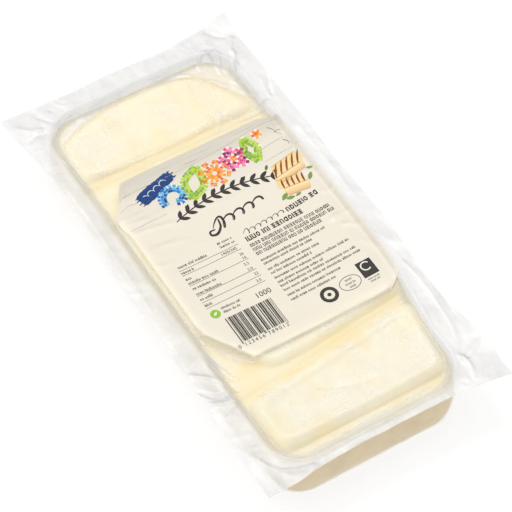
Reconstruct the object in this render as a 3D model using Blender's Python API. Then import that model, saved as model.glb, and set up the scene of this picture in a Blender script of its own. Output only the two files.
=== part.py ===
"""A one kilogram vacuum pack of sliced halloumi: a clear formed tray with a sealed lid film drawn
down over three runs of cheese, and a paper label over the middle run.

The pack lies flat on its tray. +X runs across the pack, +Y runs along it towards the far end,
+Z is up. The origin is in the middle of the pack, on the surface that it lies on.
Sizes below are in millimetres; the meshes are written in metres.
"""
import math

import bmesh
import bpy

MM = 0.001

# The tray pocket: the outline of its mouth, at the height of the flange
TRAY_LEFT, TRAY_RIGHT = -65.4, 69.6
TRAY_NEAR, TRAY_FAR = -153.5, 145.5
TRAY_RADIUS = 24.0
TRAY_HEIGHT = 37.5
TRAY_BULGE = 1.6            # how far the soft walls swell outwards at mid height
FLOOR_ROUND = 3.0           # rounding where the walls meet the floor
TRAY_PINCH = 9.0            # how much narrower the mouth is at its near right corner
PINCH_FROM, PINCH_TO = -40.0, -125.0

# The flange: the film that stands out round the mouth, cut square, with ears at its corners
FLANGE_THICK = 0.9
FAR_LEFT = (-83.2, 158.6)
FAR_RIGHT = (83.0, 163.6)
NEAR_RIGHT = (83.0, -163.6)
NEAR_LEFT = (-82.0, -163.6)
# Where each edge is nipped in: place along the edge, depth, half length
LEFT_NIPS = ((-2.0, 2.1, 132.0), (86.0, 4.0, 46.0), (-32.0, 1.8, 18.0))
RIGHT_NIPS = ((-86.0, 2.8, 38.0), (24.0, 1.3, 15.0), (0.0, 0.5, 130.0))
FAR_NIPS = ((-12.0, 2.6, 52.0), (44.0, 2.6, 26.0))
NEAR_NIPS = ((4.0, 4.4, 64.0),)
# The ears: each corner, how far it stands up beyond its crease, and its length on the diagonal
EARS = (
    (FAR_LEFT, -1.0, 24.0),
    (FAR_RIGHT, 5.0, 15.0),
    (NEAR_RIGHT, -1.5, 20.0),
    (NEAR_LEFT, 2.0, 15.0),
)
RIPPLE = 0.55               # height of the waves along the flange
RIPPLE_START = 3.0          # distance from the mouth at which the waves begin
RIPPLE_GROWTH = 9.0         # distance over which they reach their full height
BEAD = 0.8                  # height of the pressed bead round the mouth
BEAD_WIDTH = 1.8

# The film inside the mouth and the cheese that it is drawn over
GUTTER_DEPTH = 6.5          # how far the film drops between the bead and the cheese
GUTTER_SLOPE = 5.0
CHEESE_TOP = 33.5           # height of the cheese at the middle of a run
DISH = 1.8                  # how much higher the runs stand at their two long sides
DISH_MIDDLE, DISH_HALF_WIDTH = 2.0, 60.0
SHOULDER = 5.5              # rounding of the runs' upper edges
LIP = 0.9                   # raised lip just inside the near run's edges
LIP_INSET, LIP_WIDTH = 6.0, 3.0
CORNER_BLEND = 3.5          # rounding of the runs' corners, seen from above
FILM_BLEND = 0.25           # rounding where the film leaves the cheese

# The outlines of the three runs; each slanting side is a line with the run on its left
RUN_LEFT, RUN_RIGHT = -61.6, 66.8
FAR_RUN_NEAR = 89.6
FAR_ARCH_CENTRE, FAR_ARCH_RADIUS = (4.6, -4.4), 143.0
FAR_RUN_CORNER = ((67.0, 89.4), (45.5, 128.6))
MIDDLE_RUN_FAR = 81.1
MIDDLE_RUN_SIDES = (
    ((-37.0, 83.6), (-59.5, 57.6)),
    ((-60.0, -48.4), (-36.0, -82.4)),
    ((-45.0, -88.9), (60.0, -78.9)),
)
NEAR_RUN_LEFT, NEAR_RUN_NEAR = -59.4, -140.4
NEAR_RUN_SIDES = (
    ((57.6, -140.4), (63.6, -88.4)),
    ((60.0, -85.9), (-45.0, -97.9)),
)

# Pleats and creases of the lid film: where each starts and ends, its height and its half width
FOLDS = (
    ((49.0, 141.0), (45.0, 126.0), 1.3, 2.6),
    ((60.0, 141.0), (56.5, 120.0), 1.7, 2.6),
    ((70.5, 136.0), (65.0, 110.0), 1.9, 2.8),
    ((38.0, 98.0), (45.0, 90.5), 0.8, 2.4),
    ((45.0, 90.5), (70.0, 87.5), 0.9, 2.4),
    ((-17.0, 131.0), (-16.0, 98.0), -0.4, 4.0),
    ((-80.5, -88.0), (-64.0, -96.5), 1.0, 3.0),
    ((-77.0, -72.0), (-64.5, -88.0), -0.9, 3.0),
    ((-60.0, -46.0), (-42.0, -77.0), 0.8, 2.4),
    ((-62.0, -56.0), (-52.0, -92.0), -0.9, 2.6),
)

# The paper label, whose four corners are turned down out of sight: where each turned edge
# starts, and how far it runs in for each millimetre further along
LABEL_LEFT, LABEL_RIGHT = -58.2, 69.0
LABEL_NEAR, LABEL_FAR = -78.4, 80.2
FAR_LEFT_TURN, FAR_RIGHT_TURN = (52.5, 0.62), (74.0, 1.8)
NEAR_LEFT_TURN, NEAR_RIGHT_TURN = (-47.0, 0.62), (-69.0, 1.2)
LABEL_GAP = 0.5
LABEL_BRIDGE = 4.0          # how far the stiff paper reaches over a dip
LABEL_THICK = 0.35
LABEL_COLUMNS = 16

# Where the mesh changes its pitch: each place, and the cells from there to the next place.
# It is finest over the two grooves between the runs.
PITCH_ACROSS = (
    (NEAR_LEFT[0], 7),
    (TRAY_LEFT + TRAY_RADIUS, 12),
    (TRAY_RIGHT - TRAY_RADIUS, 7),
    (NEAR_RIGHT[0], 0),
)
PITCH_ALONG = (
    (NEAR_RIGHT[1], 7),
    (TRAY_NEAR + TRAY_RADIUS, 4),
    (-101.0, 9),
    (-72.0, 12),
    (72.0, 9),
    (98.0, 4),
    (TRAY_FAR - TRAY_RADIUS, 7),
    (FAR_RIGHT[1], 0),
)
LABEL_PITCH = (
    (LABEL_NEAR, 6),
    (NEAR_LEFT_TURN[0], 10),
    (FAR_LEFT_TURN[0], 4),
    (FAR_RIGHT_TURN[0], 3),
    (LABEL_FAR, 0),
)
SEAL = 4.0                  # distance from the mouth out to the end of the seal
SEAL_RINGS = (1.8, 0.0, -1.8, -4.0)
UNDERSIDE_RING = 2.0
WALL_DROP = 1.6             # height of the step between the flange's underside and the wall
WALL_STEPS = (0.0, 0.3, 0.65, 1.0)
FLOOR_TURNS = (45.0, 90.0)


def smooth(t):
    """Rise gently from 0 to 1 as t goes from 0 to 1."""
    t = min(max(t, 0.0), 1.0)
    return t * t * (3.0 - 2.0 * t)


def soft_least(distances, blend):
    """The least of some distances, with the corner between them rounded."""
    low = min(distances)
    total = sum(math.exp(-(d - low) / blend) for d in distances)
    return low - blend * math.log(total)


def stretches(stops):
    """Split a run of (place, cells up to the next place) stops into one list of places."""
    places = []
    for (start, cells), (end, _) in zip(stops, stops[1:]):
        places += [start + (end - start) * i / cells for i in range(cells)]
    places.append(stops[-1][0])
    return places


def nip(nips, place):
    """How far an edge is pulled in at a place along it."""
    return sum(depth * math.exp(-(((place - at) / half) ** 4)) for at, depth, half in nips)


def pinch(y):
    """The mouth's width at a place along it, as a share of its full width."""
    taper = smooth((PINCH_FROM - y) / (PINCH_FROM - PINCH_TO))
    return 1.0 - taper * TRAY_PINCH / (TRAY_RIGHT - TRAY_LEFT)


def rim_distance(x, y):
    """Distance outwards from the mouth's outline; negative inside it."""
    middle_x = (TRAY_LEFT + TRAY_RIGHT) / 2
    middle_y = (TRAY_NEAR + TRAY_FAR) / 2
    x = TRAY_LEFT + (x - TRAY_LEFT) / pinch(y)
    dx = abs(x - middle_x) - (TRAY_RIGHT - TRAY_LEFT) / 2 + TRAY_RADIUS
    dy = abs(y - middle_y) - (TRAY_FAR - TRAY_NEAR) / 2 + TRAY_RADIUS
    outside = math.hypot(max(dx, 0.0), max(dy, 0.0))
    return outside + min(max(dx, dy), 0.0) - TRAY_RADIUS


def line_distance(x, y, line):
    """Distance to the left of the line that runs from its first point to its second."""
    (start_x, start_y), (end_x, end_y) = line
    along_x, along_y = end_x - start_x, end_y - start_y
    return (along_x * (y - start_y) - along_y * (x - start_x)) / math.hypot(along_x, along_y)


def far_run(x, y):
    """Distance inside the far run of cheese: an arched far end and a cut far right corner."""
    arch = FAR_ARCH_RADIUS - math.hypot(x - FAR_ARCH_CENTRE[0], y - FAR_ARCH_CENTRE[1])
    corner = line_distance(x, y, FAR_RUN_CORNER)
    return soft_least((x - RUN_LEFT, RUN_RIGHT - x, y - FAR_RUN_NEAR, arch, corner), CORNER_BLEND)


def middle_run(x, y):
    """Distance inside the middle run, which the label lies on."""
    slants = [line_distance(x, y, line) for line in MIDDLE_RUN_SIDES]
    return soft_least([x - RUN_LEFT, RUN_RIGHT - x, MIDDLE_RUN_FAR - y] + slants, CORNER_BLEND)


def near_run(x, y):
    """Distance inside the near run, whose far edge slants."""
    slants = [line_distance(x, y, line) for line in NEAR_RUN_SIDES]
    return soft_least([x - NEAR_RUN_LEFT, y - NEAR_RUN_NEAR] + slants, CORNER_BLEND)


def shoulder(inside):
    """The rounded rise of a run's edge, from 0 at its outline to 1 on its top."""
    t = min(max(inside / SHOULDER, 0.0), 1.0)
    return math.sqrt(1.0 - (1.0 - t) ** 2)


def ear_lift(x, y):
    """How far the flange is bent up or down near its corners."""
    lift = 0.0
    for corner, height, length in EARS:
        side_x = math.copysign(1.0, corner[0])
        side_y = math.copysign(1.0, corner[1])
        reach = (side_x * (x - corner[0]) + side_y * (y - corner[1])) / math.sqrt(2.0)
        lift += height * max(1.0 + reach / length, 0.0) ** 1.5
    return lift


def flange_height(x, y, out):
    """Height of the flange, which waves more towards its cut edge."""
    wave = math.sin(y / 9.5 + 0.8 * math.sin(x / 21.0)) * math.cos(x / 13.0 + y / 37.0)
    ripple = RIPPLE * wave * smooth((out - RIPPLE_START) / RIPPLE_GROWTH)
    return TRAY_HEIGHT + ripple + ear_lift(x, y)


def pocket_height(x, y, out):
    """Height of the film inside the mouth: the gutter or, where it is higher, the cheese."""
    gutter = TRAY_HEIGHT - GUTTER_DEPTH
    dish = DISH * ((x - DISH_MIDDLE) / DISH_HALF_WIDTH) ** 2
    depths = [GUTTER_DEPTH * smooth(-out / GUTTER_SLOPE) - TRAY_HEIGHT]
    for run, lip in ((far_run, 0.0), (middle_run, 0.0), (near_run, LIP)):
        inside = run(x, y)
        raised = lip * math.exp(-(((inside - LIP_INSET) / LIP_WIDTH) ** 2))
        rise = CHEESE_TOP - gutter + dish + raised
        depths.append(-gutter - rise * shoulder(inside))
    return -soft_least(depths, FILM_BLEND)


def fold_height(x, y):
    """What the film's pleats and creases add at a place."""
    total = 0.0
    for start, end, height, half_width in FOLDS:
        along_x, along_y = end[0] - start[0], end[1] - start[1]
        length = math.hypot(along_x, along_y)
        share = ((x - start[0]) * along_x + (y - start[1]) * along_y) / length ** 2
        share = min(max(share, 0.0), 1.0)
        away = math.hypot(x - start[0] - along_x * share, y - start[1] - along_y * share)
        total += height * math.exp(-((away / half_width) ** 2))
    return total


def top_height(x, y):
    """Height of the pack's upper face at a place seen from above."""
    out = rim_distance(x, y)
    height = flange_height(x, y, out) if out > 0.0 else pocket_height(x, y, out)
    return height + BEAD * math.exp(-((out / BEAD_WIDTH) ** 2)) + fold_height(x, y)


def flange_loop():
    """The flange's cut edge, anticlockwise from its near left corner, one point for each cell."""
    across = stretches(PITCH_ACROSS)
    along = stretches(PITCH_ALONG)

    def between(start, end, share):
        return start + (end - start) * share

    def shares(places):
        return [(place - places[0]) / (places[-1] - places[0]) for place in places]

    loop = []
    for share in shares(across)[:-1]:
        x = between(NEAR_LEFT[0], NEAR_RIGHT[0], share)
        loop.append((x, between(NEAR_LEFT[1], NEAR_RIGHT[1], share) + nip(NEAR_NIPS, x)))
    for share in shares(along)[:-1]:
        y = between(NEAR_RIGHT[1], FAR_RIGHT[1], share)
        loop.append((between(NEAR_RIGHT[0], FAR_RIGHT[0], share) - nip(RIGHT_NIPS, y), y))
    for share in reversed(shares(across)[1:]):
        x = between(FAR_LEFT[0], FAR_RIGHT[0], share)
        loop.append((x, between(FAR_LEFT[1], FAR_RIGHT[1], share) - nip(FAR_NIPS, x)))
    for share in reversed(shares(along)[1:]):
        y = between(NEAR_LEFT[1], FAR_LEFT[1], share)
        loop.append((between(NEAR_LEFT[0], FAR_LEFT[0], share) + nip(LEFT_NIPS, y), y))
    return loop, len(across) - 1, len(along) - 1


def offset_loop(loop, out):
    """The mouth's outline moved outwards by a distance, with a point for each flange point."""
    points = []
    for x, y in loop:
        centre_x = min(max(x, TRAY_LEFT + TRAY_RADIUS), TRAY_RIGHT - TRAY_RADIUS)
        centre_y = min(max(y, TRAY_NEAR + TRAY_RADIUS), TRAY_FAR - TRAY_RADIUS)
        dx, dy = x - centre_x, y - centre_y
        scale = (TRAY_RADIUS + out) / math.hypot(dx, dy)
        on_x, on_y = centre_x + dx * scale, centre_y + dy * scale
        points.append((TRAY_LEFT + (on_x - TRAY_LEFT) * pinch(on_y), on_y))
    return points


def mix_loops(inner, outer, share):
    """A loop part of the way from an inner loop to an outer one."""
    return [(a[0] + (b[0] - a[0]) * share, a[1] + (b[1] - a[1]) * share)
            for a, b in zip(inner, outer)]


def add_loop(mesh, points, height):
    """Add one ring of vertices; height is a number or a function of x and y."""
    ring = []
    for x, y in points:
        z = height(x, y) if callable(height) else height
        ring.append(mesh.verts.new((x * MM, y * MM, z * MM)))
    return ring


def bridge(mesh, outer, inner):
    """Join two rings of equally many vertices with a band of faces."""
    count = len(outer)
    for i in range(count):
        j = (i + 1) % count
        mesh.faces.new((outer[i], outer[j], inner[j], inner[i]))


def fill_pocket(mesh, ring, points, cells_x, cells_y):
    """Fill the innermost ring with a grid whose lines bend to the ring's rounded corners."""
    near = points[:cells_x + 1]
    right = points[cells_x:cells_x + cells_y + 1]
    far = list(reversed(points[cells_x + cells_y:2 * cells_x + cells_y + 1]))
    left = list(reversed(points[2 * cells_x + cells_y:] + points[:1]))
    shares_x = [(p[0] - near[0][0]) / (near[-1][0] - near[0][0]) for p in near]
    shares_y = [(p[1] - left[0][1]) / (left[-1][1] - left[0][1]) for p in left]

    grid = {}
    for i in range(cells_x + 1):
        grid[i, 0] = ring[i]
        grid[i, cells_y] = ring[2 * cells_x + cells_y - i]
    for j in range(cells_y + 1):
        grid[cells_x, j] = ring[cells_x + j]
        grid[0, j] = ring[(2 * cells_x + 2 * cells_y - j) % len(ring)]
    for i in range(1, cells_x):
        for j in range(1, cells_y):
            u, v = shares_x[i], shares_y[j]
            place = []
            for k in (0, 1):
                sides = (1 - u) * left[j][k] + u * right[j][k]
                ends = (1 - v) * near[i][k] + v * far[i][k]
                corners = ((1 - u) * (1 - v) * near[0][k] + u * (1 - v) * near[-1][k]
                           + (1 - u) * v * far[0][k] + u * v * far[-1][k])
                place.append(sides + ends - corners)
            x, y = place
            grid[i, j] = mesh.verts.new((x * MM, y * MM, top_height(x, y) * MM))
    for i in range(cells_x):
        for j in range(cells_y):
            mesh.faces.new((grid[i, j], grid[i + 1, j], grid[i + 1, j + 1], grid[i, j + 1]))


def make_object(name, mesh, colour, roughness):
    """Turn a bmesh into a named, smooth-shaded object with a plain material."""
    bmesh.ops.recalc_face_normals(mesh, faces=mesh.faces)
    data = bpy.data.meshes.new(name)
    mesh.to_mesh(data)
    mesh.free()
    data.shade_smooth()
    data.set_sharp_from_angle(angle=math.radians(40.0))
    material = bpy.data.materials.new(name)
    material.use_nodes = True
    shader = material.node_tree.nodes["Principled BSDF"]
    shader.inputs["Base Color"].default_value = (*colour, 1.0)
    shader.inputs["Roughness"].default_value = roughness
    shader.inputs["Metallic"].default_value = 0.0
    data.materials.append(material)
    item = bpy.data.objects.new(name, data)
    bpy.context.collection.objects.link(item)
    return item


def build_pack():
    """The sealed pack as one solid: flange, film over the cheese, tray walls and floor."""
    mesh = bmesh.new()
    edge, cells_x, cells_y = flange_loop()

    # the upper face, from the cut edge in to the ring inside the bead
    seal = offset_loop(edge, SEAL)
    upper = [edge, mix_loops(seal, edge, 0.62), mix_loops(seal, edge, 0.3), seal]
    upper += [offset_loop(edge, out) for out in SEAL_RINGS]
    rings = [add_loop(mesh, points, top_height) for points in upper]
    for outer, inner in zip(rings, rings[1:]):
        bridge(mesh, outer, inner)
    fill_pocket(mesh, rings[-1], upper[-1], cells_x, cells_y)

    # the underside of the flange, in to the top of the walls
    def under_height(x, y):
        return top_height(x, y) - FLANGE_THICK

    step_top = TRAY_HEIGHT - FLANGE_THICK - BEAD
    lower = [
        add_loop(mesh, edge, under_height),
        add_loop(mesh, mix_loops(seal, edge, 0.45), under_height),
        add_loop(mesh, offset_loop(edge, UNDERSIDE_RING), step_top),
    ]

    # the walls, which swell a little and round into the floor
    wall_top = step_top - WALL_DROP
    for share in WALL_STEPS:
        height = wall_top + (FLOOR_ROUND - wall_top) * share
        swell = TRAY_BULGE * math.sin(math.pi * share ** 1.4)
        lower.append(add_loop(mesh, offset_loop(edge, swell), height))
    for turn in FLOOR_TURNS:
        angle = math.radians(turn)
        lean = FLOOR_ROUND * (1.0 - math.cos(angle))
        height = FLOOR_ROUND * (1.0 - math.sin(angle))
        lower.append(add_loop(mesh, offset_loop(edge, -lean), height))
    bridge(mesh, lower[0], rings[0])
    for outer, inner in zip(lower, lower[1:]):
        bridge(mesh, inner, outer)
    mesh.faces.new(list(reversed(lower[-1])))
    return make_object("pack", mesh, (0.93, 0.88, 0.70), 0.25)


def label_sides(y):
    """The label's left and right edges at a place along it, with its turned-down corners."""
    def turned(far, near):
        return max((y - far[0]) * far[1], (near[0] - y) * near[1], 0.0)

    left = LABEL_LEFT + turned(FAR_LEFT_TURN, NEAR_LEFT_TURN)
    right = TRAY_LEFT + (LABEL_RIGHT - TRAY_LEFT) * pinch(y)
    return left, right - turned(FAR_RIGHT_TURN, NEAR_RIGHT_TURN)


def label_height(x, y):
    """Height of the label's lower face: it bridges dips narrower than its own stiffness."""
    steps = (-LABEL_BRIDGE, 0.0, LABEL_BRIDGE)
    around = [(dx, dy) for dx in steps for dy in steps]
    half_way = [(dx / 2, dy / 2) for dx, dy in around]
    return max(top_height(x + dx, y + dy) for dx, dy in around + half_way) + LABEL_GAP


def build_label():
    """The paper label: a thin sheet that follows the film over the middle run."""
    mesh = bmesh.new()
    grid = []
    for y in stretches(LABEL_PITCH):
        left, right = label_sides(y)
        row = []
        for i in range(LABEL_COLUMNS + 1):
            x = left + (right - left) * i / LABEL_COLUMNS
            row.append(mesh.verts.new((x * MM, y * MM, label_height(x, y) * MM)))
        grid.append(row)
    for row, following in zip(grid, grid[1:]):
        for i in range(LABEL_COLUMNS):
            mesh.faces.new((row[i], row[i + 1], following[i + 1], following[i]))
    item = make_object("label", mesh, (0.88, 0.85, 0.72), 0.55)
    paper = item.modifiers.new("Paper thickness", "SOLIDIFY")
    paper.thickness = LABEL_THICK * MM
    paper.offset = 1.0
    return item


def main():
    for item in list(bpy.data.objects):
        bpy.data.objects.remove(item, do_unlink=True)
    build_pack()
    build_label()


main()
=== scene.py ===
"""Looks of a clear vacuum pack of sliced halloumi: tray, lid film, cheese, label and its print.

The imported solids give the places. Layout sizes are in millimetres and the meshes in metres:
+X runs across the pack, +Y along it to its far end and +Z up from the surface it lies on.
"""
from __future__ import annotations

import logging
import math
import random
from dataclasses import dataclass, field
from enum import Enum
from typing import Any, Sequence

import bpy
import numpy as np
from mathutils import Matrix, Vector

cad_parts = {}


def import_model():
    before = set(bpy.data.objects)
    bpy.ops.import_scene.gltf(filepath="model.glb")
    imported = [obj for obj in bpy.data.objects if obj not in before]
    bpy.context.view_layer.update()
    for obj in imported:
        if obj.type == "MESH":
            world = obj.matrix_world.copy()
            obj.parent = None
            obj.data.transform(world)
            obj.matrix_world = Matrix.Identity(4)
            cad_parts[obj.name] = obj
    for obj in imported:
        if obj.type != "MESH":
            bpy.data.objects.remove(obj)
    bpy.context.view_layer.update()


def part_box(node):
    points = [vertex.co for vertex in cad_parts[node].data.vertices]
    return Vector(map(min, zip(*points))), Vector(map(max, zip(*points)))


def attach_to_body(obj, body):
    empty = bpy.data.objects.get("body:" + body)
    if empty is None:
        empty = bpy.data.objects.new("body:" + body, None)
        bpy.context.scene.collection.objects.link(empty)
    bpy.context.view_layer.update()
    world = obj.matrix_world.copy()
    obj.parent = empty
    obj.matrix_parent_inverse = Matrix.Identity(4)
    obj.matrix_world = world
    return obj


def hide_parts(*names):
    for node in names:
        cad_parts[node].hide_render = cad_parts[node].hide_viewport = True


LOG = logging.getLogger("halloumi_pack")
MM = 0.001
BODY = "root"

Array = np.ndarray
Point = tuple[float, float]
Line = tuple[Point, Point]
Colour = tuple[float, float, float]
Layer = tuple[float, Point, int]
PLAIN: Colour = (0.5, 0.5, 0.5)
# The way away from the light, across and along, by which the sides of folds get painted shade.
AWAY_ACROSS, AWAY_ALONG = 0.5, 0.8


def from_screen(red: int, green: int, blue: int) -> Colour:
    """Turn a screen colour of 0 to 255 into the linear colour that shaders use."""
    def linear(level: int) -> float:
        """Undo the screen's curve for one channel."""
        share = level / 255.0
        return share / 12.92 if share <= 0.04045 else ((share + 0.055) / 1.055) ** 2.4

    return linear(red), linear(green), linear(blue)


def palette(*screens: tuple[int, int, int]) -> tuple[Colour, ...]:
    """Turn several screen colours into the linear colours that shaders use."""
    return tuple(from_screen(*screen) for screen in screens)


def smooth(t: Array | float) -> Array:
    """Rise gently from 0 to 1 as t goes from 0 to 1."""
    t = np.clip(t, 0.0, 1.0)
    return t * t * (3.0 - 2.0 * t)


def soft_least(distances: Sequence[Array], blend: float) -> Array:
    """Take the least of several distances, rounding the corner where two of them meet.

    Args:
        distances: Arrays of equal shape.
        blend: Size of the rounding.

    Returns:
        The rounded least, element by element.
    """
    stack = np.stack(distances)
    low = stack.min(axis=0)
    return low - blend * np.log(np.exp(-(stack - low) / blend).sum(axis=0))


def line_distance(x: Array, y: Array, line: Line) -> Array:
    """Measure the distance to the left of a line that runs from its first point to its second.

    Args:
        x: Places across.
        y: Places along.
        line: The line's two points.

    Returns:
        The distance, negative on the line's right.
    """
    (start_x, start_y), (end_x, end_y) = line
    along_x, along_y = end_x - start_x, end_y - start_y
    return (along_x * (y - start_y) - along_y * (x - start_x)) / math.hypot(along_x, along_y)


def waves(x: Array, y: Array, cell: Point, seed: int) -> Array:
    """Make smooth random waves between -1 and 1.

    Args:
        x: Places across.
        y: Places along.
        cell: Size of one wave across and along.
        seed: Fixed seed of the random table.

    Returns:
        The waves' height at each place.
    """
    table = np.random.default_rng(seed).uniform(-1.0, 1.0, (97, 97))
    u, v = x / cell[0] + 41.3, y / cell[1] + 37.7
    column, row = np.floor(u).astype(int), np.floor(v).astype(int)
    share_u, share_v = smooth(u - column), smooth(v - row)
    column, row = column % 96, row % 96
    low = table[row, column] * (1 - share_u) + table[row, column + 1] * share_u
    high = table[row + 1, column] * (1 - share_u) + table[row + 1, column + 1] * share_u
    return low * (1 - share_v) + high * share_v


def folds(x: Array, y: Array, cell: Point, seed: int, turn: float = 0.0) -> Array:
    """Make a random network of sharp ridges between flatter facets.

    Args:
        x: Places across.
        y: Places along.
        cell: Size of one facet across and along.
        seed: Fixed seed of the random tables.
        turn: The way the facets are turned, in radians.

    Returns:
        The height at each place, between -1.4 and 1.
    """
    along, across = x * math.cos(turn) + y * math.sin(turn), y * math.cos(turn) - x * math.sin(turn)
    bend = 0.35 * cell[0] * waves(along, across, (cell[0] * 1.7, cell[1] * 1.7), seed + 1)
    return 1.0 - 2.4 * np.abs(waves(along + bend, across + bend, cell, seed))


def layered(x: Array, y: Array, layers: tuple[Layer, ...]) -> Array:
    """Add up layers of waves, each given by its height, its cell and its seed."""
    return sum(height * waves(x, y, cell, seed) for height, cell, seed in layers)


def slopes(height: Array, pitch: float) -> tuple[Array, Array]:
    """Give how steep a grid of heights is, and how far it slopes away from the light."""
    along, across = np.gradient(height, pitch)
    return np.hypot(along, across), -AWAY_ACROSS * across - AWAY_ALONG * along


def add_object(name: str, data: bpy.types.ID) -> bpy.types.Object:
    """Make an object of some data and link it to the scene."""
    item = bpy.data.objects.new(name, data)
    bpy.context.scene.collection.objects.link(item)
    return item


def curve_through(points: Sequence[Point], steps: int = 8) -> Array:
    """Run a smooth curve through a few points.

    Args:
        points: The points that the curve passes.
        steps: How many stretches each span is cut into.

    Returns:
        Points along the curve, one to a row.
    """
    given = np.array(points, float)
    if len(given) < 3:
        share = np.linspace(0.0, 1.0, steps + 1)[:, None]
        return given[0] * (1 - share) + given[-1] * share
    padded = np.vstack([2 * given[0] - given[1], given, 2 * given[-1] - given[-2]])
    spans = []
    for i in range(len(given) - 1):
        before, start, end, after = padded[i:i + 4]
        t = np.linspace(0.0, 1.0, steps, endpoint=False)[:, None]
        spans.append(0.5 * (2 * start + (end - before) * t
                            + (2 * before - 5 * start + 4 * end - after) * t ** 2
                            + (3 * start - before - 3 * end + after) * t ** 3))
    return np.vstack([*spans, given[-1:]])


@dataclass(frozen=True)
class Crease:
    """One pleat, ridge or valley pressed into film or paper."""

    points: tuple[Point, ...]
    height: float
    width: float
    fade: float = 0.2

    def add_to(self, x: Array, y: Array, height: Array) -> None:
        """Add the crease to the heights of the places near it."""
        path = curve_through(self.points)
        reach = 5.0 * self.width
        low, high = path.min(axis=0) - reach, path.max(axis=0) + reach
        near = (x > low[0]) & (x < high[0]) & (y > low[1]) & (y < high[1])
        if not near.any():
            return
        px, py = x[near], y[near]
        best = np.full(px.shape, np.inf)
        place = np.zeros(px.shape)
        spans = len(path) - 1
        for i in range(spans):
            along = path[i + 1] - path[i]
            share = ((px - path[i][0]) * along[0] + (py - path[i][1]) * along[1])
            share = np.clip(share / (along @ along), 0.0, 1.0)
            away = np.hypot(px - path[i][0] - along[0] * share,
                            py - path[i][1] - along[1] * share)
            nearer = away < best
            best[nearer] = away[nearer]
            place[nearer] = (i + share[nearer]) / spans
        blunt = 0.4 * self.width
        ridge = np.exp(-(np.hypot(best, blunt) - blunt) / (0.62 * self.width))
        ends = smooth(place / self.fade) * smooth((1.0 - place) / self.fade)
        height[near] += self.height * ridge * ends


@dataclass(frozen=True)
class Mouth:
    """The outline of the tray's mouth, seen from above: a rounded oblong, pinched near right."""

    left: float
    right: float
    near: float
    far: float
    radius: float = 24.0
    pinch: float = 9.0
    pinch_from: float = -40.0
    pinch_to: float = -125.0

    def width_share(self, y: Array) -> Array:
        """Give the mouth's width at a place along it, as a share of its full width."""
        taper = smooth((self.pinch_from - y) / (self.pinch_from - self.pinch_to))
        return 1.0 - taper * self.pinch / (self.right - self.left)

    def distance(self, x: Array, y: Array) -> Array:
        """Measure the distance outwards from the outline; negative inside it."""
        x = self.left + (x - self.left) / self.width_share(y)
        dx = np.abs(x - (self.left + self.right) / 2) - (self.right - self.left) / 2 + self.radius
        dy = np.abs(y - (self.near + self.far) / 2) - (self.far - self.near) / 2 + self.radius
        outside = np.hypot(np.maximum(dx, 0.0), np.maximum(dy, 0.0))
        return outside + np.minimum(np.maximum(dx, dy), 0.0) - self.radius

    def moved(self, loop: Array, out: Array | float) -> Array:
        """Move the outline outwards, with a point for each point of a loop round it.

        Args:
            loop: Points outside the mouth, one to a row.
            out: How far the outline moves, for all points or for each.

        Returns:
            The moved outline's points, one to a row.
        """
        x, y = loop[:, 0], loop[:, 1]
        centre_x = np.clip(x, self.left + self.radius, self.right - self.radius)
        centre_y = np.clip(y, self.near + self.radius, self.far - self.radius)
        dx, dy = x - centre_x, y - centre_y
        scale = (self.radius + out) / np.hypot(dx, dy)
        on_x, on_y = centre_x + dx * scale, centre_y + dy * scale
        return np.stack([self.left + (on_x - self.left) * self.width_share(on_y), on_y], axis=1)


@dataclass(frozen=True)
class Nip:
    """A stretch of a cut edge that is drawn inwards."""

    place: float
    depth: float
    half_length: float

    def at(self, place: Array) -> Array:
        """Give how far the edge is drawn in at places along it."""
        return self.depth * np.exp(-(((place - self.place) / self.half_length) ** 4))


@dataclass(frozen=True)
class Ear:
    """A corner of the flange that is bent up or down."""

    corner: Point
    height: float
    length: float

    def lift(self, x: Array, y: Array) -> Array:
        """Give how far the corner lifts the film at a place."""
        side_x, side_y = math.copysign(1.0, self.corner[0]), math.copysign(1.0, self.corner[1])
        reach = (side_x * (x - self.corner[0]) + side_y * (y - self.corner[1])) / math.sqrt(2.0)
        return self.height * np.maximum(1.0 + reach / self.length, 0.0) ** 1.5


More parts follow.
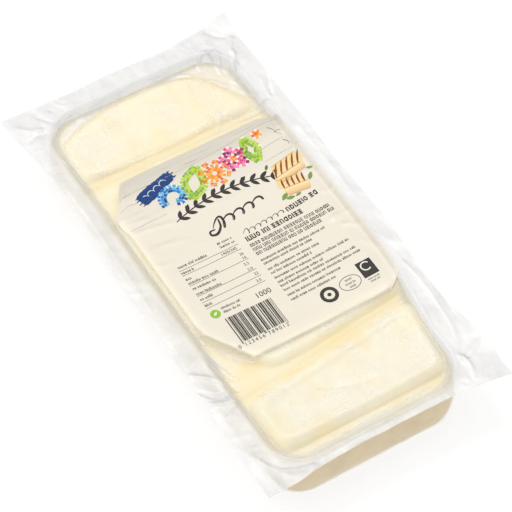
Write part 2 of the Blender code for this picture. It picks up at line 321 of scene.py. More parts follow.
@dataclass(frozen=True)
class Flange:
    """The film that stands out round the mouth, with its four cut edges and bent ears."""

    far_left: Ear
    far_right: Ear
    near_right: Ear
    near_left: Ear
    left_nips: tuple[Nip, ...] = (Nip(-2.0, 2.1, 132.0), Nip(86.0, 4.0, 46.0), Nip(-32.0, 1.8, 18.0))
    right_nips: tuple[Nip, ...] = (Nip(-86.0, 2.8, 38.0), Nip(24.0, 1.3, 15.0), Nip(0.0, 0.5, 130.0))
    far_nips: tuple[Nip, ...] = (Nip(-12.0, 2.6, 52.0), Nip(44.0, 2.6, 26.0))
    near_nips: tuple[Nip, ...] = (Nip(4.0, 4.4, 64.0),)
    ripple: float = 0.55
    ripple_start: float = 3.0
    ripple_growth: float = 9.0
    ragged: float = 0.35

    def lift(self, x: Array, y: Array, out: Array) -> Array:
        """Give the height of the flange above the tray's rim, with its ripples and ears."""
        wave = np.sin(y / 9.5 + 0.8 * np.sin(x / 21.0)) * np.cos(x / 13.0 + y / 37.0)
        ripple = self.ripple * wave * smooth((out - self.ripple_start) / self.ripple_growth)
        ears = (self.far_left, self.far_right, self.near_right, self.near_left)
        return ripple + sum(ear.lift(x, y) for ear in ears)

    def edge(self, start: Point, end: Point, nips: tuple[Nip, ...], share: Array,
             across: bool, inwards: float, seed: int) -> Array:
        """Lay one cut edge from corner to corner.

        Args:
            start: The first corner.
            end: The last corner.
            nips: Where the edge is drawn in.
            share: Places along the edge, from 0 to 1.
            across: True for an edge that runs across the pack.
            inwards: 1 or -1, the way that leads in from the edge.
            seed: Fixed seed of the edge's small unevenness.

        Returns:
            Points along the edge, one to a row.
        """
        first, last = np.array(start), np.array(end)
        points = first * (1 - share[:, None]) + last * share[:, None]
        run, side = (0, 1) if across else (1, 0)
        ends = np.array([start[run], end[run]])
        drawn = sum(nip.at(points[:, run]) for nip in nips)
        at_ends = sum(nip.at(ends) for nip in nips)
        drawn = drawn - at_ends[0] * (1 - share) - at_ends[1] * share
        place, flat = points[:, run], points[:, run] * 0
        uneven = 0.9 + 0.3 * waves(place, flat, (3.1, 1.0), seed)
        uneven += 0.6 * waves(place, flat, (11.0, 1.0), seed + 1)
        ease = smooth(share / 0.03) * smooth((1.0 - share) / 0.03)
        points[:, side] += inwards * (drawn + self.ragged * uneven * ease)
        return points

    def edges(self, shares_x: Array, shares_y: Array) -> tuple[Array, Array, Array, Array]:
        """Lay the near, right, far and left edges.

        Args:
            shares_x: Places across, from 0 at the left to 1 at the right.
            shares_y: Places along, from 0 at the near end to 1 at the far end.

        Returns:
            The near, right, far and left edges.
        """
        nl, nr = self.near_left.corner, self.near_right.corner
        fl, fr = self.far_left.corner, self.far_right.corner
        return (
            self.edge(nl, nr, self.near_nips, shares_x, True, 1.0, 11),
            self.edge(nr, fr, self.right_nips, shares_y, False, -1.0, 13),
            self.edge(fl, fr, self.far_nips, shares_x, True, -1.0, 17),
            self.edge(nl, fl, self.left_nips, shares_y, False, 1.0, 19),
        )


@dataclass(frozen=True)
class Run:
    """One run of cheese, seen from above as a patch bounded by lines and sometimes an arch."""

    name: str
    middle: Point
    sides: tuple[Line, ...]
    walls: tuple[Line, ...]
    arch: tuple[float, float, float] | None = None
    lip: float = 0.0
    slack: float = 0.0

    def inside(self, x: Array, y: Array, blend: float) -> Array:
        """Measure the distance inside the run's outline at its top."""
        distances = [line_distance(x, y, side) for side in self.sides]
        if self.arch:
            distances.append(self.arch[2] - np.hypot(x - self.arch[0], y - self.arch[1]))
        return soft_least(distances, blend)


@dataclass(frozen=True)
class PackShape:
    """The heights of the film over the whole pack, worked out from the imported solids' boxes."""

    mouth: Mouth
    flange: Flange
    runs: tuple[Run, ...]
    rim_height: float
    bead: float = 0.8
    bead_width: float = 1.8
    gutter_depth: float = 6.5
    gutter_slope: float = 8.0
    cheese_top: float = 33.5
    dish: float = 1.8
    dish_middle: float = 2.0
    dish_half_width: float = 60.0
    shoulder: float = 5.5
    lip_inset: float = 6.0
    lip_width: float = 3.0
    corner_blend: float = 3.5
    film_blend: float = 0.25

    @classmethod
    def from_frame(cls) -> PackShape:
        """Place the tray's mouth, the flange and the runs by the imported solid's box."""
        low, high = (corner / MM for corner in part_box("pack"))
        mouth = Mouth(left=low.x + 17.56, right=high.x - 13.4, near=low.y + 10.1,
                      far=high.y - 18.08)
        flange = Flange(
            far_left=Ear((low.x, high.y - 5.0), -1.0, 24.0),
            far_right=Ear((high.x, high.y), 5.0, 15.0),
            near_right=Ear((high.x, low.y), -1.5, 20.0),
            near_left=Ear((low.x + 1.0, low.y), 2.0, 15.0),
        )
        left, right = mouth.left + 3.8, mouth.right - 2.8
        left_side, right_side = ((left, 1.0), (left, 0.0)), ((right, 0.0), (right, 1.0))
        far_gap: Line = ((0.0, 85.4), (1.0, 85.4))
        near_gap: Line = ((-45.0, -93.4), (60.0, -82.4))
        runs = (
            Run("far", (2.0, 112.0),
                sides=(left_side, right_side, ((0.0, 89.6), (1.0, 89.6)),
                       ((67.0, 89.4), (45.5, 128.6))),
                walls=(far_gap,), arch=(4.6, -4.4, 143.0), slack=0.7),
            Run("middle", (3.0, 0.0),
                sides=(left_side, right_side, ((1.0, 81.1), (0.0, 81.1)),
                       ((-37.0, 83.6), (-59.5, 57.6)), ((-60.0, -48.4), (-36.0, -82.4)),
                       ((-45.0, -88.9), (60.0, -78.9))),
                walls=(far_gap[::-1], near_gap), slack=0.5),
            Run("near", (0.0, -114.0),
                sides=(((-59.4, 1.0), (-59.4, 0.0)), ((0.0, -140.4), (1.0, -140.4)),
                       ((57.6, -140.4), (63.6, -88.4)), ((60.0, -85.9), (-45.0, -97.9))),
                walls=(near_gap[::-1],), lip=0.9, slack=0.4),
        )
        return cls(mouth, flange, runs, rim_height=37.5)

    def insides(self, x: Array, y: Array) -> list[Array]:
        """Measure the distance inside each run, in the runs' order."""
        return [run.inside(x, y, self.corner_blend) for run in self.runs]

    def crown(self, run: Run, x: Array, y: Array) -> Array:
        """Give the height of one run's top, which levels off at the gutter's floor.

        Args:
            run: The run.
            x: Places across.
            y: Places along.

        Returns:
            The height of the run's top at each place.
        """
        gutter = self.rim_height - self.gutter_depth
        inside = run.inside(x, y, self.corner_blend)
        lip = run.lip * np.exp(-(((inside - self.lip_inset) / self.lip_width) ** 2))
        t = np.clip(inside / self.shoulder, 0.0, 1.0)
        dish = self.dish * ((x - self.dish_middle) / self.dish_half_width) ** 2
        rise = self.cheese_top - gutter + dish + lip
        tight = np.sqrt(1.0 - (1.0 - t) ** 2)
        loose = smooth((inside + 3.5) / (self.shoulder + 4.5))
        return gutter + rise * (tight * (1.0 - run.slack) + loose * run.slack)

    def plain_height(self, x: Array, y: Array) -> Array:
        """Give the film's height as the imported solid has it, without pleats.

        Args:
            x: Places across.
            y: Places along.

        Returns:
            The film's height at each place.
        """
        out = self.mouth.distance(x, y)
        depths = [self.gutter_depth * smooth(-out / self.gutter_slope) - self.rim_height]
        depths += [-self.crown(run, x, y) for run in self.runs]
        pocket = -soft_least(depths, self.film_blend)
        flange = self.rim_height + self.flange.lift(x, y, out)
        height = np.where(out > 0.0, flange, pocket)
        soft = 0.35 + 0.65 * smooth((-y - 90.0) / 40.0)
        return height + self.bead * soft * np.exp(-((out / self.bead_width) ** 2))

    def crowns(self, x: Array, y: Array) -> Array:
        """Give the height of the highest run at each place."""
        return np.maximum.reduce([self.crown(run, x, y) for run in self.runs])


FAR_CREASES = (
    Crease(((-50.0, 132.0), (-36.0, 138.5), (-20.0, 141.0), (0.0, 141.2)), 0.8, 1.1),
    Crease(((8.0, 141.0), (24.0, 140.5), (36.0, 137.5), (44.0, 131.5)), 0.9, 1.1),
    Crease(((-57.0, 133.0), (-49.0, 141.0), (-38.0, 143.6)), 0.7, 1.0),
    Crease(((-34.0, 143.4), (0.0, 143.9), (40.0, 143.6), (64.0, 142.8)), -0.5, 1.0),
    Crease(((-58.0, 118.0), (-54.0, 128.0), (-46.0, 134.0)), 0.5, 1.2),
    Crease(((48.0, 132.0), (49.5, 139.0), (55.0, 142.8), (60.0, 140.0), (60.5, 133.0)), 1.1, 1.1),
    Crease(((57.5, 144.0), (59.5, 136.0), (58.0, 124.0)), 1.1, 1.0),
    Crease(((61.5, 143.0), (63.5, 134.0), (61.5, 122.0)), 1.2, 0.9),
    Crease(((73.5, 137.0), (70.5, 128.0), (64.0, 112.0)), 1.3, 1.1),
    Crease(((66.5, 134.0), (66.0, 125.0), (64.0, 113.0)), 0.9, 1.0),
    Crease(((44.5, 129.0), (52.0, 122.0), (57.5, 111.0)), 0.6, 1.1),
    Crease(((60.0, 120.0), (64.0, 112.0), (66.5, 102.0)), 0.6, 1.0),
    Crease(((62.0, 108.0), (65.5, 99.0), (69.0, 92.0)), 0.5, 0.9),
    Crease(((-56.0, 95.1), (-39.9, 90.8), (-10.0, 89.6), (24.4, 91.6), (39.3, 95.6)), 0.6, 0.8),
    Crease(((30.0, 84.0), (37.0, 91.0), (40.0, 97.5)), 0.7, 1.0),
    Crease(((40.0, 91.5), (52.0, 87.6), (64.0, 87.0), (73.0, 85.6)), 0.9, 1.1),
    Crease(((-16.5, 130.0), (-17.5, 115.0), (-13.0, 99.0)), -0.35, 2.2),
    Crease(((8.0, 128.0), (3.0, 112.0), (6.0, 99.0)), -0.3, 2.6),
    Crease(((-54.0, 91.0), (-56.0, 82.0), (-54.0, 74.0)), 0.5, 1.0),
)

LEFT_CREASES = (
    Crease(((-64.5, 116.0), (-61.8, 96.0), (-58.0, 78.0)), 0.8, 0.7),
    Crease(((-59.0, 74.0), (-60.5, 48.0), (-62.0, 18.0), (-63.2, -12.0)), 0.4, 0.8),
    Crease(((-61.0, 10.0), (-61.5, -18.0), (-60.5, -44.0)), 0.4, 0.8),
    Crease(((-73.5, 104.0), (-72.5, 60.0), (-73.5, 10.0), (-75.0, -40.0)), 0.35, 1.4),
    Crease(((-60.5, -42.0), (-54.0, -58.0), (-44.0, -73.0), (-35.0, -79.5)), 0.9, 1.0),
    Crease(((-64.0, -56.0), (-59.0, -70.0), (-53.5, -86.0)), 0.9, 1.0),
    Crease(((-66.0, -64.0), (-61.0, -80.0), (-57.5, -92.0)), -0.9, 1.2),
    Crease(((-82.0, -80.0), (-72.0, -90.0), (-60.0, -94.0)), -1.0, 1.4),
    Crease(((-81.0, -68.0), (-70.0, -76.0), (-61.0, -88.0)), 0.9, 1.5),
    Crease(((-80.0, -92.0), (-70.0, -96.0), (-60.0, -97.5)), 0.8, 1.3),
    Crease(((-76.0, -104.0), (-68.0, -101.0), (-60.0, -100.0)), -0.5, 1.2),
    Crease(((-80.0, 150.0), (-70.0, 141.0), (-62.0, 138.0)), 0.8, 2.4),
    Crease(((-62.0, 158.0), (-60.0, 148.0), (-54.0, 139.0)), -0.8, 2.2),
    Crease(((-78.0, 134.0), (-68.0, 136.0), (-60.0, 134.0)), -0.5, 1.8),
    Crease(((-48.0, 160.0), (-46.0, 152.0), (-40.0, 146.0)), 0.5, 1.6),
)

RIGHT_CREASES = (
    Crease(((72.0, -52.0), (74.0, -84.0), (72.0, -112.0), (67.0, -132.0)), 0.6, 1.3),
    Crease(((77.0, -62.0), (78.5, -94.0), (76.0, -122.0)), -0.5, 1.6),
    Crease(((76.5, 108.0), (74.0, 96.0), (72.5, 84.0)), 0.6, 1.4),
    Crease(((82.0, 108.0), (77.0, 96.0), (74.0, 88.0)), -0.6, 1.4),
    Crease(((75.5, 66.0), (76.0, 30.0), (75.0, -10.0)), 0.35, 1.4),
    Crease(((66.0, -82.0), (63.5, -96.0), (62.0, -112.0)), 0.5, 1.0),
    Crease(((82.0, -134.0), (72.0, -138.0), (64.0, -142.0)), -0.9, 1.8),
    Crease(((60.0, -158.0), (64.0, -150.0), (64.5, -142.0), (61.0, -136.0)), 1.2, 1.6),
    Crease(((80.0, 146.0), (74.0, 140.0), (70.0, 132.0)), 0.7, 1.6),
    Crease(((64.0, 160.0), (70.0, 151.0), (76.0, 146.0)), -0.6, 1.8),
)

NEAR_CREASES = (
    Crease(((-76.5, -132.0), (-70.0, -147.0), (-57.0, -156.0), (-46.0, -158.0)), 0.8, 1.2),
    Crease(((-64.0, -134.0), (-56.0, -143.5), (-42.0, -147.2), (0.0, -147.0), (50.0, -146.6)), 0.7, 1.0),
    Crease(((-54.0, -143.0), (-20.0, -143.8), (20.0, -143.4), (52.0, -142.4)), -0.5, 0.9),
    Crease(((-60.0, -110.0), (-60.5, -124.0), (-55.0, -137.0)), 0.5, 1.0),
    Crease(((-48.0, -96.5), (-30.0, -93.4), (0.0, -90.2), (30.0, -87.4), (58.0, -84.6)), -0.3, 2.4),
    Crease(((-50.0, -100.0), (-40.0, -101.5), (-32.0, -106.0)), -0.35, 1.8),
    Crease(((56.0, -92.0), (53.0, -112.0), (50.0, -134.0)), 0.5, 1.2),
    Crease(((-20.0, -112.0), (0.0, -121.0), (20.0, -124.0)), -0.25, 2.4),
)

LABEL_CREASES = (
    Crease(((-57.0, 48.0), (-48.0, 45.5), (-38.0, 45.0)), 0.57, 1.0),
    Crease(((-57.0, 38.0), (-42.0, 36.8), (-24.0, 34.0)), 0.61, 1.3),
    Crease(((-56.0, 31.0), (-46.0, 27.0), (-34.0, 26.0)), -0.57, 1.6),
    Crease(((-56.0, 21.0), (-44.0, 22.0), (-22.0, 18.0)), 0.42, 1.4),
    Crease(((-57.0, 62.0), (-50.0, 66.5), (-42.0, 70.0)), 0.85, 1.0),
    Crease(((-55.0, 56.0), (-48.0, 60.0), (-44.0, 56.0)), -0.66, 1.3),
    Crease(((-57.0, 52.0), (-50.0, 50.0), (-40.0, 51.5)), 0.6, 0.9),
    Crease(((-56.0, 12.0), (-50.0, 8.0), (-43.0, 9.5)), 0.5, 1.1),
    Crease(((-12.0, 38.0), (8.0, 33.0), (26.0, 34.0)), 0.3, 1.5),
    Crease(((30.0, 78.0), (44.0, 74.0), (58.0, 74.5)), 0.4, 1.2),
    Crease(((58.0, 30.0), (63.0, 24.0), (69.0, 22.0)), 0.6, 1.0),
    Crease(((59.0, 10.0), (64.0, 6.0), (69.5, 7.0)), 0.6, 1.0),
    Crease(((52.0, -14.0), (60.0, -12.6), (68.5, -13.6)), 0.76, 1.0),
    Crease(((56.0, -20.0), (62.0, -22.0), (68.0, -28.0)), 0.66, 1.1),
    Crease(((60.0, -34.0), (64.0, -40.0), (67.0, -50.0)), 0.57, 1.2),
    Crease(((64.0, 58.0), (66.0, 50.0), (65.0, 41.0)), 0.53, 0.8),
    Crease(((-36.0, -75.0), (-10.0, -73.4), (30.0, -73.6)), 0.47, 1.6),
)


class Graph:
    """Adds nodes to one node tree and wraps their outputs so that Python sums make Math nodes."""

    def __init__(self, tree: bpy.types.NodeTree) -> None:
        """Start on an existing tree."""
        self.tree = tree

    def node(self, kind: str, settings: dict[str, Any] | None = None,
             inputs: dict[str | int, Any] | None = None) -> bpy.types.Node:
        """Add one node.

        Args:
            kind: The node's type.
            settings: Its settings, which are set first.
            inputs: Values or wrapped sockets for its inputs, by name or place.

        Returns:
            The new node.
        """
        made = self.tree.nodes.new(kind)
        for key, value in (settings or {}).items():
            setattr(made, key, value)
        for key, value in (inputs or {}).items():
            self.feed(made.inputs[key], value)
        return made

    def feed(self, socket: bpy.types.NodeSocket, value: Any) -> None:
        """Link a wrapped socket to an input, or set a plain value on it."""
        if isinstance(value, Value):
            self.tree.links.new(value.socket, socket)
        elif isinstance(value, bpy.types.NodeSocket):
            self.tree.links.new(value, socket)
        else:
            socket.default_value = value

    def value(self, kind: str, output: str | int = 0, settings: dict[str, Any] | None = None,
              inputs: dict[str | int, Any] | None = None) -> Value:
        """Add one node and wrap one of its outputs."""
        return Value(self, self.node(kind, settings, inputs).outputs[output])

    def math(self, operation: str, first: Any, second: Any = 0.0) -> Value:
        """Add a Math node for two values."""
        return self.value("ShaderNodeMath", 0, {"operation": operation}, {0: first, 1: second})

    def place(self) -> Value:
        """Wrap the object's own coordinates."""
        return self.value("ShaderNodeTexCoord", "Object")

    def attribute(self, name: str, output: str = "Fac") -> Value:
        """Wrap one of the mesh's own attributes."""
        return self.value("ShaderNodeAttribute", output, {"attribute_name": name})

    def noise(self, place: Value, scale: float, detail: float = 2.0, rough: float = 0.5) -> Value:
        """Add a noise texture on a place.

        Args:
            place: The coordinates that it reads.
            scale: Waves in each metre.
            detail: How many finer layers are added.
            rough: How strong the finer layers are.

        Returns:
            The noise, between 0 and 1.
        """
        return self.value("ShaderNodeTexNoise", "Fac", None,
                          {"Vector": place, "Scale": scale, "Detail": detail, "Roughness": rough})

    def stretch(self, place: Value, scale: tuple[float, float, float], turn: float = 0.0) -> Value:
        """Stretch and turn coordinates, so that a pattern runs one way."""
        return self.value("ShaderNodeMapping", 0, None,
                          {"Vector": place, "Rotation": (0.0, 0.0, turn), "Scale": scale})

    def between(self, value: Value, low: float, high: float) -> Value:
        """Rise smoothly from 0 where value is low to 1 where it is high."""
        return self.value("ShaderNodeMapRange", 0, {"interpolation_type": "SMOOTHSTEP"},
                          {"Value": value, "From Min": low, "From Max": high})

    def blend(self, share: Any, first: Any, second: Any) -> Value:
        """Blend two colours, which may be wrapped sockets or plain colours."""
        def full(colour: Any) -> Any:
            """Give a plain colour its alpha."""
            return (*colour, 1.0) if isinstance(colour, tuple) else colour

        return self.value("ShaderNodeMix", 2, {"data_type": "RGBA"},
                          {0: share, 6: full(first), 7: full(second)})

    def bump(self, height: Value, distance: float) -> Value:
        """Turn a height between 0 and 1 into a normal, with bumps of a real height in metres."""
        return self.value("ShaderNodeBump", 0, None,
                          {"Strength": 1.0, "Distance": distance, "Height": height})


@dataclass(frozen=True)
class Value:
    """A node's output that can be used in sums; each sum adds a Math node."""

    graph: Graph
    socket: bpy.types.NodeSocket

    def __add__(self, other: Any) -> Value:
        """Add."""
        return self.graph.math("ADD", self, other)

    def __radd__(self, other: Any) -> Value:
        """Add to a plain number."""
        return self.graph.math("ADD", other, self)

    def __sub__(self, other: Any) -> Value:
        """Subtract."""
        return self.graph.math("SUBTRACT", self, other)

    def __rsub__(self, other: Any) -> Value:
        """Subtract from a plain number."""
        return self.graph.math("SUBTRACT", other, self)

    def __mul__(self, other: Any) -> Value:
        """Multiply."""
        return self.graph.math("MULTIPLY", self, other)

    def __rmul__(self, other: Any) -> Value:
        """Multiply a plain number."""
        return self.graph.math("MULTIPLY", other, self)

    def clamped(self) -> Value:
        """Hold between 0 and 1."""
        return self.graph.math("MAXIMUM", self.graph.math("MINIMUM", self, 1.0), 0.0)


def new_material(name: str, inputs: dict[str, Any]
                 ) -> tuple[bpy.types.Material, Graph, bpy.types.Node]:
    """Start a material.

    Args:
        name: The material's name.
        inputs: Plain values for inputs of its Principled node, by name.

    Returns:
        The material, its graph and its Principled node.
    """
    material = bpy.data.materials.new(name)
    material.use_nodes = True
    graph, shader = Graph(material.node_tree), material.node_tree.nodes["Principled BSDF"]
    for key, value in inputs.items():
        graph.feed(shader.inputs[key], value)
    return material, graph, shader


def show_through(graph: Graph, share: Value, tint: Colour = (1.0, 1.0, 1.0)) -> None:
    """Show a material's own surface by a share, and for the rest what lies behind, tinted."""
    clear = graph.value("ShaderNodeBsdfTransparent", 0, None, {"Color": (*tint, 1.0)})
    surface = graph.tree.nodes["Principled BSDF"].outputs[0]
    mixed = graph.node("ShaderNodeMixShader", None, {0: share, 1: clear, 2: surface})
    graph.feed(graph.tree.nodes["Material Output"].inputs["Surface"], mixed.outputs[0])


@dataclass(frozen=True)
class CheeseFinish:
    """Pressed, brined curd: pale cream, warmer where it lies deep or is thicker."""

    cream: Colour = from_screen(245, 238, 215)
    patch: Colour = from_screen(246, 229, 184)
    warm: Colour = from_screen(250, 227, 166)
    deep: Colour = from_screen(236, 214, 169)
    stain: Colour = from_screen(212, 184, 134)
    pit: Colour = from_screen(236, 216, 174)
    roughness: float = 0.5

    def material(self) -> bpy.types.Material:
        """Make the cheese's material."""
        material, graph, shader = new_material("cheese_curd", {
            "Roughness": self.roughness, "Subsurface Weight": 0.3,
            "Subsurface Radius": (1.0, 0.8, 0.5), "Subsurface Scale": 0.004})
        place = graph.place()
        broad = graph.between(graph.noise(place, 38.0, 4.0, 0.6), 0.47, 0.66)
        streak = graph.noise(graph.stretch(place, (1.0, 0.5, 1.0), 0.5), 85.0, 4.0, 0.6)
        patches = (broad * 0.6 + graph.between(streak, 0.50, 0.70) * 0.5).clamped()
        colour = graph.blend(patches * 0.8, self.cream, self.patch)
        colour = graph.blend(graph.attribute("warmth").clamped() * 0.9, colour, self.warm)
        stains = graph.between(graph.noise(place, 100.0, 5.0, 0.6), 0.40, 0.72) * 0.42
        side = graph.blend(stains, self.deep, self.stain)
        colour = graph.blend(graph.attribute("depth"), colour, side)
        grain = graph.noise(place, 700.0, 3.0, 0.6)
        colour = graph.blend(graph.between(grain, 0.60, 0.74) * 0.4, colour, self.pit)
        graph.feed(shader.inputs["Base Color"], colour)
        graph.feed(shader.inputs["Normal"], graph.bump(grain, 0.00006))
        return material


@dataclass(frozen=True)
class FilmFinish:
    """Clear soft film: see-through, a little milky, with gloss that catches on its folds."""

    name: str
    milk: Colour = from_screen(251, 250, 248)
    # The grey the film is painted towards: a greyer film on the flange and in the gutter, and painted
    # shade on the sides of folds that slope away from the light.
    grey_and_painted_shade: Colour = from_screen(205, 204, 205)
    tint: Colour = from_screen(252, 252, 251)
    roughness: float = 0.22
    index: float = 1.9
    edge_milk: float = 0.20
    cloud: float = 0.5
    crinkle: float = 0.00022

    def material(self) -> bpy.types.Material:
        """Make the film's material."""
        material, graph, shader = new_material(self.name, {"IOR": self.index})
        place = graph.place()
        clouds = graph.noise(place, 55.0, 4.0, 0.62)
        crinkles = graph.noise(graph.stretch(place, (1.0, 0.45, 1.0), 0.7), 170.0, 2.0, 0.5)
        fine = graph.noise(graph.stretch(place, (0.5, 1.0, 1.0), 0.2), 430.0, 1.0, 0.5)
        normal = graph.bump(crinkles * 0.75 + fine * 0.25, self.crinkle)
        facing = graph.value("ShaderNodeLayerWeight", "Facing", None, {"Blend": 0.5})
        haze = graph.attribute("haze") * (1.0 - self.cloud / 2 + clouds * self.cloud)
        share = (haze + (facing - 0.2) * self.edge_milk).clamped()
        # Painted shade: the colour goes grey by the mesh's attribute, which holds painted shade on folds
        # as well as greying, and it goes greyer where the crinkle noise is high.
        grey_and_painted_shade_share = (graph.attribute("grey_and_painted_shade") + (crinkles - 0.5) * 0.7).clamped()
        graph.feed(shader.inputs["Base Color"], graph.blend(grey_and_painted_shade_share, self.milk, self.grey_and_painted_shade))
        graph.feed(shader.inputs["Roughness"], crinkles * 0.10 + haze * 0.24 + (self.roughness - 0.05))
        graph.feed(shader.inputs["Normal"], normal)
        show_through(graph, share, self.tint)
        return material


@dataclass(frozen=True)
class PaperFinish:
    """Satin cream label paper, greyer at its head, printed with a faint board grain."""

    cream: Colour = from_screen(229, 221, 204)
    head: Colour = from_screen(206, 200, 186)
    line: Colour = from_screen(150, 144, 130)
    shadow: Colour = from_screen(176, 170, 156)
    warm: Colour = from_screen(252, 243, 212)
    roughness: float = 0.38

    def material(self) -> bpy.types.Material:
        """Make the paper's material."""
        material, graph, shader = new_material("label_paper", {
            "Roughness": self.roughness, "Coat Weight": 0.25, "Coat Roughness": 0.22})
        place = graph.place()
        boards = graph.noise(graph.stretch(place, (0.05, 1.0, 1.0)), 260.0, 3.0, 0.6)
        soft = graph.noise(place, 30.0, 2.0, 0.5)
        grey = graph.attribute("head") * (0.55 + boards * 0.55 + soft * 0.2)
        colour = graph.blend(grey.clamped(), self.cream, self.head)
        grain = graph.noise(graph.stretch(place, (0.03, 1.0, 1.0), -0.03), 620.0, 3.0, 0.6)
        lines = graph.between(grain, 0.60, 0.70) * graph.attribute("head")
        colour = graph.blend(lines * 0.55, colour, self.line)
        # A warmer, lighter cream towards the left edge and the foot: it matches the cheese, and part of
        # it is painted light that lifts the shade where the paper fades.
        colour = graph.blend(graph.attribute("edge_tint_and_painted_light").clamped(), colour, self.warm)
        colour = graph.blend(graph.attribute("shade").clamped(), colour, self.shadow)
        fibre = graph.noise(place, 1500.0, 2.0, 0.5)
        colour = graph.blend(graph.between(fibre, 0.6, 0.8) * 0.12, colour, self.head)
        graph.feed(shader.inputs["Base Color"], colour)
        graph.feed(shader.inputs["Normal"], graph.bump(fibre, 0.00002))
        show_through(graph, graph.attribute("cover").clamped())
        return material


@dataclass(frozen=True)
class InkFinish:
    """A printed ink: one colour that lies a little unevenly on the paper."""

    name: str
    colour: Colour
    thin: float = 0.06
    roughness: float = 0.4

    def material(self) -> bpy.types.Material:
        """Make the ink's material."""
        material, graph, shader = new_material(
            self.name, {"Roughness": self.roughness, "Specular IOR Level": 0.2})
        place = graph.place()
        worn = graph.noise(place, 480.0, 3.0, 0.6) * self.thin
        pale = tuple(channel + (0.8 - channel) * 0.6 for channel in self.colour)
        graph.feed(shader.inputs["Base Color"], graph.blend(worn, self.colour, pale))
        return material


@dataclass(frozen=True)
class TileFinish:
    """Printed mosaic tiles, each in its own shade, which the mesh carries as a colour."""

    name: str = "mosaic_tiles"
    roughness: float = 0.4

    def material(self) -> bpy.types.Material:
        """Make the tiles' material."""
        material, graph, shader = new_material(
            self.name, {"Roughness": self.roughness, "Specular IOR Level": 0.2})
        shade = graph.attribute("tile_colour", "Color")
        worn = graph.noise(graph.place(), 520.0, 2.0, 0.5) * 0.05
        graph.feed(shader.inputs["Base Color"], graph.blend(worn, shade, (0.9, 0.9, 0.85)))
        return material


def attach(name: str, mesh: bpy.types.Mesh, material: bpy.types.Material) -> bpy.types.Object:
    """Make a smooth-shaded object of a mesh, in the scene, with one material."""
    mesh.shade_smooth()
    mesh.materials.clear()
    mesh.materials.append(material)
    return add_object(name, mesh)


def add_attribute(mesh: bpy.types.Mesh, name: str, values: Array) -> None:
    """Write one number for each vertex."""
    layer = mesh.attributes.new(name, "FLOAT", "POINT")
    layer.data.foreach_set("value", np.ascontiguousarray(values, np.float32).ravel())


def grid_faces(index: Array) -> list[list[int]]:
    """Give the four-sided faces of a grid of vertex numbers."""
    corners = [index[:-1, :-1], index[:-1, 1:], index[1:, 1:], index[1:, :-1]]
    return np.stack(corners, axis=-1).reshape(-1, 4).tolist()


def sheet_mesh(name: str, points: Array) -> bpy.types.Mesh:
    """Make a mesh of a grid of points.

    Args:
        name: The mesh's name.
        points: Places in millimetres, as rows by columns by three.

    Returns:
        The mesh, facing up where rows run along and columns run across.
    """
    rows, columns = points.shape[:2]
    index = np.arange(rows * columns).reshape(rows, columns)
    mesh = bpy.data.meshes.new(name)
    mesh.from_pydata((points.reshape(-1, 3) * MM).tolist(), [], grid_faces(index))
    return mesh


def ring_mesh(name: str, rings: Sequence[Array], closed_start: bool) -> bpy.types.Mesh:
    """Join rings of points with bands of faces and close the last ring, and maybe the first.

    Args:
        name: The mesh's name.
        rings: Rings in millimetres with equally many points; each band faces outwards where
            the rings run anticlockwise from above and follow one another downwards.
        closed_start: Whether the first ring is closed too.

    Returns:
        The mesh.
    """
    count = len(rings[0])
    index = np.arange(count)
    following = (index + 1) % count
    faces: list[list[int]] = []
    for i in range(len(rings) - 1):
        here, below = i * count, (i + 1) * count
        band = np.stack([here + index, below + index, below + following, here + following], axis=1)
        faces += band.tolist()
    if closed_start:
        faces.append(index.tolist())
    faces.append(((len(rings) - 1) * count + index[::-1]).tolist())
    mesh = bpy.data.meshes.new(name)
    mesh.from_pydata((np.vstack(rings) * MM).tolist(), [], faces)
    return mesh


